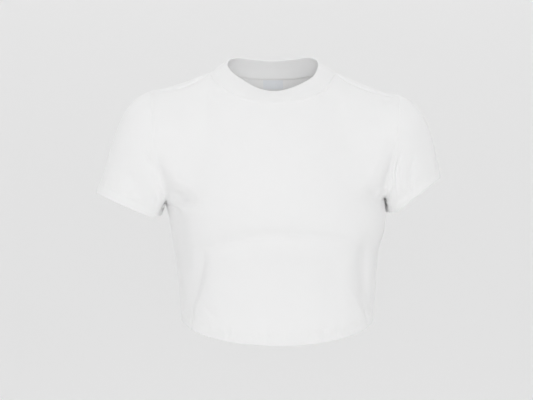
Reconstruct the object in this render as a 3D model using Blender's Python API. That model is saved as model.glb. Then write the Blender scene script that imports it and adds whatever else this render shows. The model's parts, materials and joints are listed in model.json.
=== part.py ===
"""A cropped, short-sleeved, crew-necked top of white cotton jersey, filled out as when worn.

Metres, +Z up. The wearer faces -Y, so +X is the wearer's left. The origin lies midway
between the two points where the shoulders meet the neck.

Each piece of cloth is a grid of outer points with a wall towards its inside. Pieces that
are sewn together share the points of their seam, then each draws back half the seam gap.
"""

import math
from collections import defaultdict, namedtuple

import bpy
import numpy as np

# Cloth walls and gaps
JERSEY_WALL = 0.0013
HEM_WALL = 0.0022
RIB_WALL = 0.0020
LABEL_WALL = 0.0010
SEAM_GAP = 0.0003
LABEL_CLEARANCE = 0.0004
HEM_DEPTH = 0.018
HEM_STEP = 0.002
STEEPEST_MITRE = 0.5
CLOSEST_CREASE = 0.2

# Points nearer than this are one point of a seam
SEAM_MATCH = 0.00001

# How finely each piece is divided
NECK_COLUMNS = 14
SHOULDER_COLUMNS = 8
BODY_ROWS = 13
YOKE_ROWS = 14
SLEEVE_ROWS = 9
BAND_ROWS = 3
HEM_ROWS = 3
CUFF_ROWS = 2
NECK_SHARE = 0.44
TINY = 1e-9
SHARP_ANGLE = math.radians(50)

# How the panels are smoothed: repeats, the step in, the step back out, and the rows it eases in over
IRON_TIMES = 20
IRON_PRESS, IRON_RELEASE = 0.50, 0.52
IRON_EASE_ROWS = 5

# The body from the hem up to the underarm: reach to each side, to the front and to the back
Section = namedtuple("Section", "height left right front back")
BODY_SECTIONS = (
    Section(-0.3800, -0.1337, 0.1502, 0.0980, 0.0800),
    Section(-0.3360, -0.1363, 0.1528, 0.0995, 0.0765),
    Section(-0.2985, -0.1405, 0.1546, 0.1035, 0.0755),
    Section(-0.2760, -0.1432, 0.1573, 0.1080, 0.0765),
    Section(-0.2535, -0.1467, 0.1637, 0.1145, 0.0785),
    Section(-0.2310, -0.1502, 0.1664, 0.1195, 0.0815),
    Section(-0.2002, -0.1573, 0.1653, 0.1215, 0.0860),
)
BODY_SQUARENESS = 2.2
HEM_DIP_FRONT, HEM_DIP_BACK = 0.017, 0.006

# The neckline seam and the band's folded top edge, as closed curves round the neck.
# The angle runs from the middle of the front, and each side has its own height.
NeckRow = namedtuple("NeckRow", "angle left right")
NECKLINE_HALF_WIDTH, NECKLINE_FRONT, NECKLINE_BACK, NECKLINE_CENTRE = 0.0885, 0.058, 0.056, 0.0012
NECKLINE_HEIGHTS = (
    NeckRow(0, -0.0518, -0.0518),
    NeckRow(22, -0.0482, -0.0492),
    NeckRow(34, -0.0440, -0.0460),
    NeckRow(45, -0.0383, -0.0416),
    NeckRow(56, -0.0315, -0.0360),
    NeckRow(68, -0.0240, -0.0262),
    NeckRow(80, -0.0175, -0.0180),
    NeckRow(90, -0.0142, -0.0132),
    NeckRow(105, -0.0125, -0.0130),
    NeckRow(120, -0.0125, -0.0150),
    NeckRow(135, -0.0155, -0.0180),
    NeckRow(150, -0.0213, -0.0220),
    NeckRow(180, -0.0248, -0.0248),
)
BAND_HALF_WIDTH, BAND_FRONT, BAND_BACK, BAND_CENTRE = 0.0666, 0.040, 0.050, 0.0009
BAND_HEIGHTS = (
    NeckRow(0, -0.0388, -0.0388),
    NeckRow(20, -0.0340, -0.0355),
    NeckRow(40, -0.0235, -0.0280),
    NeckRow(60, -0.0140, -0.0195),
    NeckRow(75, -0.0070, -0.0113),
    NeckRow(90, -0.0012, -0.0020),
    NeckRow(110, 0.0040, 0.0045),
    NeckRow(127, 0.0054, 0.0062),
    NeckRow(150, 0.0025, 0.0030),
    NeckRow(180, -0.0004, -0.0004),
)
BAND_BULGE = 0.0015

# The shoulder seam, from the neckline out to the armhole
ShoulderRow = namedtuple("ShoulderRow", "along forward left right")
SHOULDER_SEAM = (
    ShoulderRow(0.00, 0.000, -0.0142, -0.0132),
    ShoulderRow(0.17, 0.007, -0.0217, -0.0245),
    ShoulderRow(0.42, 0.013, -0.0325, -0.0350),
    ShoulderRow(0.74, 0.013, -0.0386, -0.0445),
    ShoulderRow(1.00, 0.008, -0.0405, -0.0479),
)

# How the cloth arrives at the top edge of each panel: inwards, backwards, upwards.
# The place runs from the middle of the neckline, 0, to its end, 1, and out to the armhole, 2.
Arrival = namedtuple("Arrival", "place inwards backwards upwards")
FRONT_ARRIVALS = (
    Arrival(0.00, 0.000, 0.080, 0.110),
    Arrival(0.50, 0.015, 0.090, 0.110),
    Arrival(0.85, 0.030, 0.110, 0.090),
    Arrival(1.00, 0.020, 0.130, 0.070),
    Arrival(1.20, 0.000, 0.150, 0.100),
    Arrival(1.50, 0.000, 0.150, 0.130),
    Arrival(1.80, 0.000, 0.150, 0.100),
    Arrival(2.00, 0.000, 0.150, 0.030),
)
BACK_ARRIVALS = (
    Arrival(0.00, 0.000, -0.045, 0.120),
    Arrival(0.50, 0.010, -0.070, 0.105),
    Arrival(0.85, 0.010, -0.110, 0.020),
    Arrival(1.00, 0.000, -0.130, -0.060),
    Arrival(1.20, 0.000, -0.150, -0.100),
    Arrival(1.50, 0.000, -0.150, -0.130),
    Arrival(1.80, 0.000, -0.150, -0.100),
    Arrival(2.00, 0.000, -0.150, -0.030),
)
FRONT_DEPARTURE = (0.000, 0.015, 0.150)
BACK_DEPARTURE = (0.000, 0.025, 0.150)

# The armholes and sleeves
Sleeve = namedtuple(
    "Sleeve",
    "name side underarm shoulder cuff_outer cuff_inner cuff_depth cuff_front"
    " start_top start_bottom end_top end_bottom armhole_bulge",
)
ARMHOLE_FRONT, ARMHOLE_BACK = 0.058, 0.056
ARMHOLE_LOW_REACH, ARMHOLE_HIGH_REACH = 5.4, 2.6
ARMHOLE_BULGE_PLACE = 0.15
ARMHOLE_BITE = 0.24
ARMHOLE_BITE_ROUNDNESS = 0.7
ARMHOLE_PULL_START = 0.3

# The cuff's inner half: a fold ends in front, the cloth behind is tucked in, and the corner is lifted
CUFF_FOLD_FORWARD = 0.022
CUFF_FOLD_SHARPNESS, CUFF_BACK_SQUARENESS = 1.7, 2.5
CUFF_TUCK = 0.020
CUFF_CORNER_LIFT, CUFF_CORNER_REACH = 0.005, 0.12
SLEEVES = (
    Sleeve(
        name="sleeve_right",
        side=-1,
        underarm=(-0.1573, 0.000, -0.2021),
        shoulder=(-0.1748, -0.008, -0.0405),
        cuff_outer=(-0.2585, 0.000, -0.1888),
        cuff_inner=(-0.1695, 0.000, -0.2285),
        cuff_depth=0.050,
        cuff_front=(0.093, -0.985, 0.092),
        start_top=(-0.965, 0.0, -0.260),
        start_bottom=(-0.370, 0.0, -0.930),
        end_top=(-0.447, 0.0, -0.894),
        end_bottom=(-0.370, 0.0, -0.930),
        armhole_bulge=0.004,
    ),
    Sleeve(
        name="sleeve_left",
        side=1,
        underarm=(0.1655, 0.000, -0.1965),
        shoulder=(0.1841, -0.008, -0.0479),
        cuff_outer=(0.2490, 0.010, -0.1686),
        cuff_inner=(0.1765, 0.010, -0.2255),
        cuff_depth=0.052,
        cuff_front=(-0.100, -0.985, 0.135),
        start_top=(0.965, 0.0, -0.260),
        start_bottom=(0.510, 0.0, -0.860),
        end_top=(0.270, 0.0, -0.963),
        end_bottom=(0.510, 0.0, -0.860),
        armhole_bulge=0.002,
    ),
)

# The largest folds, as troughs pressed into the cloth along paths of (x, z) seen from the front.
# The face says which half of the garment is pressed.
Fold = namedtuple("Fold", "face half_width depth path")
FOLDS = (
    # under the bust, across the whole front
    Fold(
        "front",
        0.015,
        0.0035,
        ((-0.134, -0.266), (-0.074, -0.252), (0.010, -0.237), (0.075, -0.246), (0.140, -0.262)),
    ),
    # down the waist on both sides of the front
    Fold("front", 0.014, 0.0045, ((-0.097, -0.275), (-0.106, -0.318), (-0.119, -0.358))),
    Fold("front", 0.014, 0.0040, ((0.128, -0.275), (0.122, -0.315), (0.138, -0.352))),
    # broader, between these and the sides
    Fold("front", 0.018, 0.0050, ((-0.140, -0.225), (-0.133, -0.285), (-0.131, -0.345))),
    Fold("front", 0.018, 0.0060, ((0.140, -0.245), (0.143, -0.300), (0.149, -0.350))),
    # from the armpits towards the bust
    Fold("front", 0.012, 0.0050, ((-0.155, -0.180), (-0.122, -0.190))),
    Fold("front", 0.011, 0.0050, ((0.174, -0.145), (0.162, -0.190))),
    Fold("front", 0.013, 0.0035, ((0.158, -0.178), (0.134, -0.186))),
    Fold("front", 0.010, 0.0025, ((-0.152, -0.208), (-0.134, -0.216))),
    # down the inner half of the wearer's left sleeve
    Fold("front", 0.008, 0.0030, ((0.200, -0.130), (0.188, -0.190))),
    # on the back, in to the waist and up from the armpits
    Fold("back", 0.014, 0.0040, ((-0.100, -0.250), (-0.060, -0.290), (-0.040, -0.340))),
    Fold("back", 0.014, 0.0040, ((0.110, -0.240), (0.065, -0.285), (0.050, -0.335))),
    Fold("back", 0.012, 0.0035, ((-0.150, -0.190), (-0.105, -0.160))),
    Fold("back", 0.012, 0.0035, ((0.158, -0.186), (0.110, -0.158))),
)
FOLD_SIDE_FADE = 0.020
FOLD_END_SHARE = 0.45

# The blank label, hung from the neckline seam inside the back
LABEL_WIDTH, LABEL_HEIGHT, LABEL_CENTRE, LABEL_DROP = 0.0295, 0.0170, 0.0018, 0.0012
LABEL_COLUMNS, LABEL_ROWS = 6, 4

# Finishes, from the cloth in the light
Finish = namedtuple("Finish", "name colour roughness")
JERSEY = Finish("white_cotton_jersey", (0.85, 0.85, 0.845), 0.90)
RIB = Finish("white_cotton_rib", (0.84, 0.84, 0.835), 0.90)
LABEL_TAPE = Finish("pale_blue_grey_tape", (0.60, 0.62, 0.66), 0.70)


def clear_scene():
    for item in list(bpy.data.objects):
        bpy.data.objects.remove(item, do_unlink=True)


def smoothstep(value):
    value = np.clip(value, 0.0, 1.0)
    return value * value * (3 - 2 * value)


def smooth_through(places, values, at):
    """A smooth curve through the values, sloping at each place as its neighbours do."""
    places, values = np.asarray(places, float), np.asarray(values, float)
    slopes = np.gradient(values, places)
    at = np.clip(np.asarray(at, float), places[0], places[-1])
    left = np.clip(np.searchsorted(places, at, side="right") - 1, 0, len(places) - 2)
    step = places[left + 1] - places[left]
    t = (at - places[left]) / step
    return (
        (1 + 2 * t) * (1 - t) ** 2 * values[left]
        + t * (1 - t) ** 2 * step * slopes[left]
        + t * t * (3 - 2 * t) * values[left + 1]
        - t * t * (1 - t) * step * slopes[left + 1]
    )


def column(table, name):
    return [getattr(row, name) for row in table]


def hermite(start, end, leaving, arriving, t):
    """The curve from start to end with these directions at its ends."""
    t = np.asarray(t)[..., None]
    return (
        (1 + 2 * t) * (1 - t) ** 2 * start
        + t * (1 - t) ** 2 * leaving
        + t * t * (3 - 2 * t) * end
        - t * t * (1 - t) * arriving
    )


def neck_curve(degrees, heights, half_width, front, back, centre):
    """Points of an oval round the neck, at angles from the middle of the front."""
    angle = np.radians(degrees)
    depth = np.where(np.cos(angle) > 0, front, back)
    turn = [(-row.angle, row.left) for row in heights[:0:-1]] + [(row.angle, row.right) for row in heights]
    before, after = (turn[-2][0] - 360, turn[-2][1]), (turn[1][0] + 360, turn[1][1])
    angles, levels = zip(before, *turn, after)
    z = smooth_through(angles, levels, degrees)
    return np.stack([centre + half_width * np.sin(angle), -depth * np.cos(angle), z], axis=-1)


def neckline(degrees):
    return neck_curve(
        degrees, NECKLINE_HEIGHTS, NECKLINE_HALF_WIDTH, NECKLINE_FRONT, NECKLINE_BACK, NECKLINE_CENTRE
    )


def band_edge(degrees):
    return neck_curve(degrees, BAND_HEIGHTS, BAND_HALF_WIDTH, BAND_FRONT, BAND_BACK, BAND_CENTRE)


def shoulder_seam(side, along):
    """Points of the shoulder seam, 0 at the neckline and 1 at the armhole."""
    sleeve = SLEEVES[0] if side < 0 else SLEEVES[1]
    places = column(SHOULDER_SEAM, "along")
    start = NECKLINE_CENTRE + side * NECKLINE_HALF_WIDTH
    x = start + (sleeve.shoulder[0] - start) * along
    y = -smooth_through(places, column(SHOULDER_SEAM, "forward"), along)
    z = smooth_through(places, column(SHOULDER_SEAM, "left" if side < 0 else "right"), along)
    return np.stack([x, y, z], axis=-1)


def armhole(sleeve, facing, t):
    """Half an armhole, from the underarm, t = 0, to the shoulder seam, over the front or back.

    It rises slowly at first, runs forward, and bulges towards the neck just above the underarm.
    """
    depth = facing * (ARMHOLE_FRONT if facing < 0 else ARMHOLE_BACK)
    forward = t * (1 - t) ** 2 * ARMHOLE_LOW_REACH + t**2 * (1 - t) * ARMHOLE_HIGH_REACH
    rise = t**3 * (10 - 15 * t + 6 * t**2) * (1 - t) + smoothstep(t) * t
    start, end = np.array(sleeve.underarm), np.array(sleeve.shoulder)
    curve = start + rise[..., None] * (end - start)
    curve[..., 1] += depth * forward
    near = t / ARMHOLE_BULGE_PLACE * np.exp(1 - t / ARMHOLE_BULGE_PLACE)
    curve[..., 0] -= sleeve.side * sleeve.armhole_bulge * near**3
    return curve


def cuff_edge(sleeve, angle):
    """The cuff's edge, by angles from its outer end over the front."""
    outer, inner = np.array(sleeve.cuff_outer), np.array(sleeve.cuff_inner)
    wide, deep = np.cos(angle), np.sin(angle)
    inwards = np.clip(-wide, 0, 1)
    sharpness = np.where(deep > 0, CUFF_FOLD_SHARPNESS, CUFF_BACK_SQUARENESS)
    power = 2 / np.where(wide > 0, 2.0, sharpness)
    wide = np.sign(wide) * np.abs(wide) ** power
    deep = np.sign(deep) * np.abs(deep) ** power
    forward = np.where(inwards > 0, CUFF_FOLD_FORWARD * (1 - np.abs(deep)), 0.0)
    reach = sleeve.cuff_depth * deep + forward
    corner = CUFF_CORNER_LIFT * np.exp(-(((1 + wide) / CUFF_CORNER_REACH) ** 2))
    points = (outer + inner) / 2 + wide[:, None] * (outer - inner) / 2
    points = points + reach[:, None] * np.array(sleeve.cuff_front)
    points[:, 0] -= sleeve.side * CUFF_TUCK * inwards * np.clip(-deep, 0, 1)
    return points - corner[:, None] * np.array(sleeve.end_bottom)


def across_columns():
    """Places across a panel, -1 at one side, 1 at the other, closer set as the edge needs."""
    neck = np.linspace(-NECK_SHARE, NECK_SHARE, NECK_COLUMNS + 1)
    shoulder = np.linspace(NECK_SHARE, 1.0, SHOULDER_COLUMNS + 1)[1:]
    return np.concatenate([-shoulder[::-1], neck, shoulder])


def body_ring(across, height, facing):
    """Points of one level section of the body, over its front or its back half."""
    heights = column(BODY_SECTIONS, "height")
    left = smooth_through(heights, column(BODY_SECTIONS, "left"), height)
    right = smooth_through(heights, column(BODY_SECTIONS, "right"), height)
    depth = smooth_through(heights, column(BODY_SECTIONS, "front" if facing < 0 else "back"), height)
    angle = across * math.pi / 2
    power = 2 / BODY_SQUARENESS
    x = (left + right) / 2 + (right - left) / 2 * np.sign(angle) * np.abs(np.sin(angle)) ** power
    y = facing * depth * np.abs(np.cos(angle)) ** power
    return np.stack([x, y, np.full_like(x, height)], axis=-1)


def body_heights():
    """Heights of the rows from the hem to the underarm, with the turned-up hem marked off."""
    hem, underarm = BODY_SECTIONS[0].height, BODY_SECTIONS[-1].height
    above = np.linspace(hem + HEM_DEPTH + HEM_STEP, underarm, BODY_ROWS + 1)
    return np.concatenate([np.linspace(hem, hem + HEM_DEPTH, HEM_ROWS), above])


def lower_panel(across, facing):
    """Rows of a panel from the hem to the underarm, the hem dipping towards its middle."""
    hem, underarm = BODY_SECTIONS[0].height, BODY_SECTIONS[-1].height
    dip = HEM_DIP_FRONT if facing < 0 else HEM_DIP_BACK
    tilt = underarm_tilt(across)
    rows = []
    for height in body_heights():
        ring = body_ring(across, height, facing)
        low = (underarm - height) / (underarm - hem)
        ring[:, 2] += tilt * (1 - low) - dip * low * np.cos(across * math.pi / 2) ** 2
        rows.append(ring)
    return np.array(rows)


def underarm_tilt(across):
    """How far the underarm's height differs from the last section, from side to side."""
    level = BODY_SECTIONS[-1].height
    ends = [sleeve.underarm[2] - level for sleeve in SLEEVES]
    return np.interp(across, [-1, 1], ends)


def top_edge(across, facing):
    """The top edge of a panel: half the neckline, with a shoulder seam on each side of it."""
    points = []
    for place in across:
        if abs(place) <= NECK_SHARE + TINY:
            turn = place / NECK_SHARE * 90
            degrees = turn if facing < 0 else math.copysign(180, turn) - turn
            points.append(neckline(np.array(degrees)))
        else:
            along = (abs(place) - NECK_SHARE) / (1 - NECK_SHARE)
            points.append(shoulder_seam(math.copysign(1, place), np.array(along)))
    return np.array(points)


def arrivals(across, facing):
    """The direction in which each column of a panel arrives at the top edge."""
    table = FRONT_ARRIVALS if facing < 0 else BACK_ARRIVALS
    beyond = (np.abs(across) - NECK_SHARE) / (1 - NECK_SHARE)
    place = np.where(np.abs(across) <= NECK_SHARE, np.abs(across) / NECK_SHARE, 1 + beyond)
    inwards, backwards, upwards = (
        smooth_through(column(table, "place"), column(table, name), place)
        for name in ("inwards", "backwards", "upwards")
    )
    return np.stack([-np.sign(across) * inwards, backwards, upwards], axis=-1)


def underarm_ring(across, facing):
    ring = body_ring(across, BODY_SECTIONS[-1].height, facing)
    ring[:, 2] += underarm_tilt(across)
    return ring


def upper_panel(across, facing):
    """Rows of a panel above the underarm.

    The armholes bite into the sides of each row, and the row's ends are pulled out to them.
    """
    end = top_edge(across, facing)
    leaving = np.array(FRONT_DEPARTURE if facing < 0 else BACK_DEPARTURE)
    arriving = arrivals(across, facing)
    pull = [smoothstep((side * across - ARMHOLE_PULL_START) / (1 - ARMHOLE_PULL_START)) for side in (-1, 1)]
    rows = []
    for t in np.linspace(0, 1, YOKE_ROWS + 1)[1:]:
        bite = ARMHOLE_BITE * max(math.sin(math.pi * t), 0.0) ** ARMHOLE_BITE_ROUNDNESS
        start = underarm_ring(across * (1 - bite * across**2), facing)
        row = hermite(start, end, leaving, arriving, np.full(len(across), t))
        for sleeve, weight, edge in zip(SLEEVES, pull, (0, -1)):
            row = row + weight[:, None] * (armhole(sleeve, facing, np.array(t)) - row[edge])
        rows.append(row)
    return np.array(rows)


def ironed(points, first_row, times):
    """The grid with sharp bends smoothed out of it above a row. Its border stays as it is."""
    result = points.copy()
    for step in (IRON_PRESS, -IRON_RELEASE) * times:
        around = (result[:-2, 1:-1] + result[2:, 1:-1] + result[1:-1, :-2] + result[1:-1, 2:]) / 4
        rows = np.arange(1, len(result) - 1)
        share = np.clip((rows - first_row) / IRON_EASE_ROWS, 0, 1)[:, None, None]
        result[1:-1, 1:-1] += step * share * (around - result[1:-1, 1:-1])
    return result


def panel(facing):
    """Outer points of the front, facing -1, or the back, facing 1. Rows run up from the hem."""
    across = across_columns()
    points = np.concatenate([lower_panel(across, facing), upper_panel(across, facing)])
    points = ironed(points, first_row=len(body_heights()) - IRON_EASE_ROWS, times=IRON_TIMES)
    return points if facing < 0 else points[:, ::-1]


def sleeve_tube(sleeve):
    """Outer points of a sleeve. Rows run from the armhole to the cuff, columns round the arm."""
    half = np.linspace(0, 1, YOKE_ROWS + 1)
    front = armhole(sleeve, -1, half)
    back = armhole(sleeve, 1, half[::-1])
    root = np.concatenate([front, back[1:-1]])
    angle = np.radians(np.concatenate([180 * (1 - half), -180 * (1 - half[::-1])[1:-1]]))
    cuff = cuff_edge(sleeve, angle)
    length = np.linalg.norm(cuff - root, axis=1)[:, None]
    top = ((1 + np.cos(angle)) / 2)[:, None]
    leaving = length * mixed(sleeve.start_bottom, sleeve.start_top, top)
    arriving = length * mixed(sleeve.end_bottom, sleeve.end_top, top)
    rows = []
    for t in np.linspace(0, 1, SLEEVE_ROWS + 1):
        rows.append(hermite(root, cuff, leaving, arriving, np.full(len(root), t)))
    points = np.array(rows)
    return points[:, ::-1] if sleeve.side > 0 else points


def unit(vectors):
    return vectors / np.linalg.norm(vectors, axis=-1, keepdims=True)


def mixed(low, high, share):
    return unit(np.array(low) * (1 - share) + np.array(high) * share)


def band_angles():
    """Angles of the band's columns, which meet the columns of both panels at the neckline."""
    return np.linspace(-180, 180, 2 * NECK_COLUMNS + 1)[:-1]


def neckband():
    """Outer points of the band. Rows run up from the neckline seam to the folded edge."""
    low, high = neckline(band_angles()), band_edge(band_angles())
    outwards = unit(low * [1, 1, 0] - [NECKLINE_CENTRE, 0, 0])
    rows = []
    for t in np.linspace(0, 1, BAND_ROWS + 1):
        rows.append(low + (high - low) * t + outwards * BAND_BULGE * math.sin(math.pi * t))
    return np.array(rows)


def grid_normals(points, closed):
    """Outward normals of a grid's points, from the cells round each. A closed grid runs right round."""
    ring = np.concatenate([points, points[:, :1]], axis=1) if closed else points
    rising, falling = ring[1:, 1:] - ring[:-1, :-1], ring[1:, :-1] - ring[:-1, 1:]
    cells = np.cross(rising, falling)
    normals = np.zeros_like(ring)
    for corner in (normals[1:, 1:], normals[:-1, :-1], normals[1:, :-1], normals[:-1, 1:]):
        corner += cells
    if closed:
        normals[:, 0] += normals[:, -1]
        normals = normals[:, :-1]
    return unit(normals)


def seam_key(point):
    return tuple(np.round(point / SEAM_MATCH).astype(int))


def edge_places(points, closed):
    """The (row, column) of each point on the border of a grid."""
    rows, columns = points.shape[:2]
    border = {(r, c) for r in (0, rows - 1) for c in range(columns)}
    if not closed:
        border |= {(r, c) for r in range(rows) for c in (0, columns - 1)}
    return sorted(border)


def shared_normals(grids):
    """Normals of every grid, each the mean of its pieces' own where they meet at a seam."""
    normals = {name: grid_normals(points, closed) for name, (points, closed) in grids.items()}
    meeting = defaultdict(list)
    for name, (points, closed) in grids.items():
        for place in edge_places(points, closed):
            meeting[seam_key(points[place])].append((name, place))
    shared = {name: values.copy() for name, values in normals.items()}
    sewn = defaultdict(set)
    for places in meeting.values():
        # Where a third piece joins the front and back, the two count as one cloth.
        body = [normals[name][place] for name, place in places if name in ("front", "back")]
        joined = [normals[name][place] for name, place in places if name not in ("front", "back")]
        if body:
            joined.append(unit(sum(body)))
        mean = unit(sum(joined))
        for name, place in places:
            shared[name][place] = mean
            if len(places) > 1:
                sewn[name].add(place)
    return normals, shared, sewn


def distance_to_path(points, path):
    """How far each (x, z) point lies from a path of straight stretches, and how far along."""
    nearest = np.full(len(points), np.inf)
    along = np.zeros(len(points))
    lengths = [math.dist(a, b) for a, b in zip(path, path[1:])]
    passed = 0.0
    for (start, end), length in zip(zip(path, path[1:]), lengths):
        start, end = np.array(start), np.array(end)
        t = np.clip((points - start) @ (end - start) / length**2, 0, 1)
        gap = np.linalg.norm(points - start - t[:, None] * (end - start), axis=1)
        closer = gap < nearest
        nearest[closer] = gap[closer]
        along[closer] = (passed + t[closer] * length) / sum(lengths)
        passed += length
    return nearest, along


def fold_depth(points):
    """How deep the folds press each point inwards. Each fold is deepest halfway along."""
    flat = points.reshape(-1, 3)
    depth = np.zeros(len(flat))
    for fold in FOLDS:
        gap, along = distance_to_path(flat[:, [0, 2]], fold.path)
        facing = -1 if fold.face == "front" else 1
        on_face = smoothstep(flat[:, 1] * facing / FOLD_SIDE_FADE)
        swell = FOLD_END_SHARE + (1 - FOLD_END_SHARE) * np.sin(math.pi * along)
        depth += fold.depth * swell * on_face * np.exp(-((gap / fold.half_width) ** 2))
    return depth.reshape(points.shape[:-1])


def away_from_seam(point, inner, before, after):
    """The direction along the cloth from a seam point, square to the seam."""
    seam = unit(after - before)
    inwards = inner - point
    return unit(inwards - (inwards @ seam) * seam)


def drawn_back(points, normals, shared, sewn, closed):
    """The grid with each sewn border point drawn back from the seam, along the cloth."""
    rows, columns = points.shape[:2]
    result = points.copy()
    for r, c in sewn:
        here, move = points[r, c], np.zeros(3)
        before, after = (r, (c - 1) % columns), (r, (c + 1) % columns)
        if r in (0, rows - 1) and (before in sewn or after in sewn):
            inner = points[1 if r == 0 else rows - 2, c]
            before = points[before] if before in sewn else here
            after = points[after] if after in sewn else here
            move += away_from_seam(here, inner, before, after)
        before, after = (r - 1, c), (r + 1, c)
        if not closed and c in (0, columns - 1) and (before in sewn or after in sewn):
            inner = points[r, 1 if c == 0 else columns - 2]
            before = points[before] if before in sewn else here
            after = points[after] if after in sewn else here
            move += away_from_seam(here, inner, before, after)
        turn = max(float(normals[r, c] @ shared[r, c]), CLOSEST_CREASE)
        result[r, c] = here + move * SEAM_GAP / 2 / turn
    return result


def inner_side(points, normals, shared, walls):
    """The inner points: the wall's thickness inwards, mitred where pieces meet at an angle."""
    turn = np.maximum(np.sum(normals * shared, axis=-1), STEEPEST_MITRE)
    return points - shared * (walls / turn)[..., None]


def hem_walls(rows, columns):
    """Wall of each point of a panel: double in the turned-up hem, single above it."""
    walls = np.full((rows, columns), JERSEY_WALL)
    walls[:HEM_ROWS] = HEM_WALL
    return walls


def cuff_walls(rows, columns):
    """Wall of each point of a sleeve: double in the last rows, the turned-up cuff."""
    walls = np.full((rows, columns), JERSEY_WALL)
    walls[-CUFF_ROWS:] = HEM_WALL
    return walls


def principled(finish):
    material = bpy.data.materials.get(finish.name)
    if material is None:
        material = bpy.data.materials.new(finish.name)
        material.use_nodes = True
        shader = material.node_tree.nodes["Principled BSDF"]
        shader.inputs["Base Color"].default_value = (*finish.colour, 1.0)
        shader.inputs["Roughness"].default_value = finish.roughness
        shader.inputs["Metallic"].default_value = 0.0
    return material


def wall_faces(rows, columns, closed):
    """Faces of a wall whose outer grid comes first and whose inner grid follows it."""
    count = rows * columns
    wrap = columns if closed else columns - 1
    faces = []
    for r in range(rows - 1):
        for c in range(wrap):
            near, far = c, (c + 1) % columns
            quad = [r * columns + near, r * columns + far, (r + 1) * columns + far, (r + 1) * columns + near]
            faces.append(quad)
            faces.append([corner + count for corner in reversed(quad)])
    for c in range(wrap):
        near, far = c, (c + 1) % columns
        faces.append([far, near, near + count, far + count])
        top = (rows - 1) * columns
        faces.append([top + near, top + far, top + far + count, top + near + count])
    if not closed:
        for r in range(rows - 1):
            low, high = r * columns, (r + 1) * columns
            faces.append([low, high, high + count, low + count])
            low, high = low + columns - 1, high + columns - 1
            faces.append([high, low, low + count, high + count])
    return faces


def make_wall(name, outer, inner, closed, finish):
    rows, columns = outer.shape[:2]
    points = np.concatenate([outer.reshape(-1, 3), inner.reshape(-1, 3)])
    mesh = bpy.data.meshes.new(name)
    mesh.from_pydata(points.tolist(), [], wall_faces(rows, columns, closed))
    mesh.materials.append(principled(finish))
    mesh.shade_smooth()
    mesh.set_sharp_from_angle(angle=SHARP_ANGLE)
    mesh.validate()
    item = bpy.data.objects.new(name, mesh)
    bpy.context.scene.collection.objects.link(item)
    return item


def sampled(grid, rows, columns):
    """Points of a grid at fractional rows and columns."""
    r = np.clip(np.floor(rows).astype(int), 0, grid.shape[0] - 2)
    c = np.clip(np.floor(columns).astype(int), 0, grid.shape[1] - 2)
    u, v = (rows - r)[..., None], (columns - c)[..., None]
    low = grid[r, c] * (1 - v) + grid[r, c + 1] * v
    high = grid[r + 1, c] * (1 - v) + grid[r + 1, c + 1] * v
    return low * (1 - u) + high * u


def make_label(back_inner, back_normals):
    """The blank label, made from the back's inner points and moved off them, into the neck."""
    top_row = back_inner.shape[0] - 1
    middle = back_inner[:, back_inner.shape[1] // 2]
    drops = np.linalg.norm(middle[::-1] - middle[-1], axis=1)
    wanted = np.linspace(LABEL_DROP + LABEL_HEIGHT, LABEL_DROP, LABEL_ROWS + 1)
    level = np.interp(wanted, drops, np.arange(len(drops)))
    line = back_inner[-2]
    reach = np.linspace(LABEL_CENTRE + LABEL_WIDTH / 2, LABEL_CENTRE - LABEL_WIDTH / 2, LABEL_COLUMNS + 1)
    place = np.interp(-reach, -line[:, 0], np.arange(len(line)))
    rows, columns = np.meshgrid(top_row - level, place, indexing="ij")
    base = sampled(back_inner, rows, columns)
    inwards = -unit(sampled(back_normals, rows, columns))
    near = base + inwards * LABEL_CLEARANCE
    far = near + inwards * LABEL_WALL
    make_wall("neck_label", near, far, False, LABEL_TAPE)


def main():
    clear_scene()
    grids = {
        "front": (panel(-1), False),
        "back": (panel(1), False),
        "neckband": (neckband(), True),
    }
    for sleeve in SLEEVES:
        grids[sleeve.name] = (sleeve_tube(sleeve), True)

    _, shared, _ = shared_normals(grids)
    for name, (points, closed) in grids.items():
        pressed = points - shared[name] * fold_depth(points)[..., None]
        grids[name] = (pressed, closed)

    normals, shared, sewn = shared_normals(grids)
    for name, (points, closed) in grids.items():
        outer = drawn_back(points, normals[name], shared[name], sewn[name], closed)
        size = outer.shape[:2]
        if name == "neckband":
            walls, finish = np.full(size, RIB_WALL), RIB
        elif name in ("front", "back"):
            walls, finish = hem_walls(*size), JERSEY
        else:
            walls, finish = cuff_walls(*size), JERSEY
        inner = inner_side(outer, normals[name], shared[name], walls)
        make_wall(name, outer, inner, closed, finish)
        if name == "back":
            make_label(inner, normals[name])


main()
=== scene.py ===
"""Looks of a cropped, short-sleeved, crew-necked top of white cotton jersey, filled out as when worn.

Metres, +Z up. The wearer faces -Y, so +X is the wearer's left.

The cut gives the same coarse grids as the solids have. They are read off finely along smooth
curves, and then the folds, creases, seams and turned-up hems are worked into them.
"""

from __future__ import annotations

import json
import logging
import math
from collections import defaultdict
from collections.abc import Sequence
from dataclasses import dataclass, field
from enum import Enum
from typing import NamedTuple, TypeVar

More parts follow.
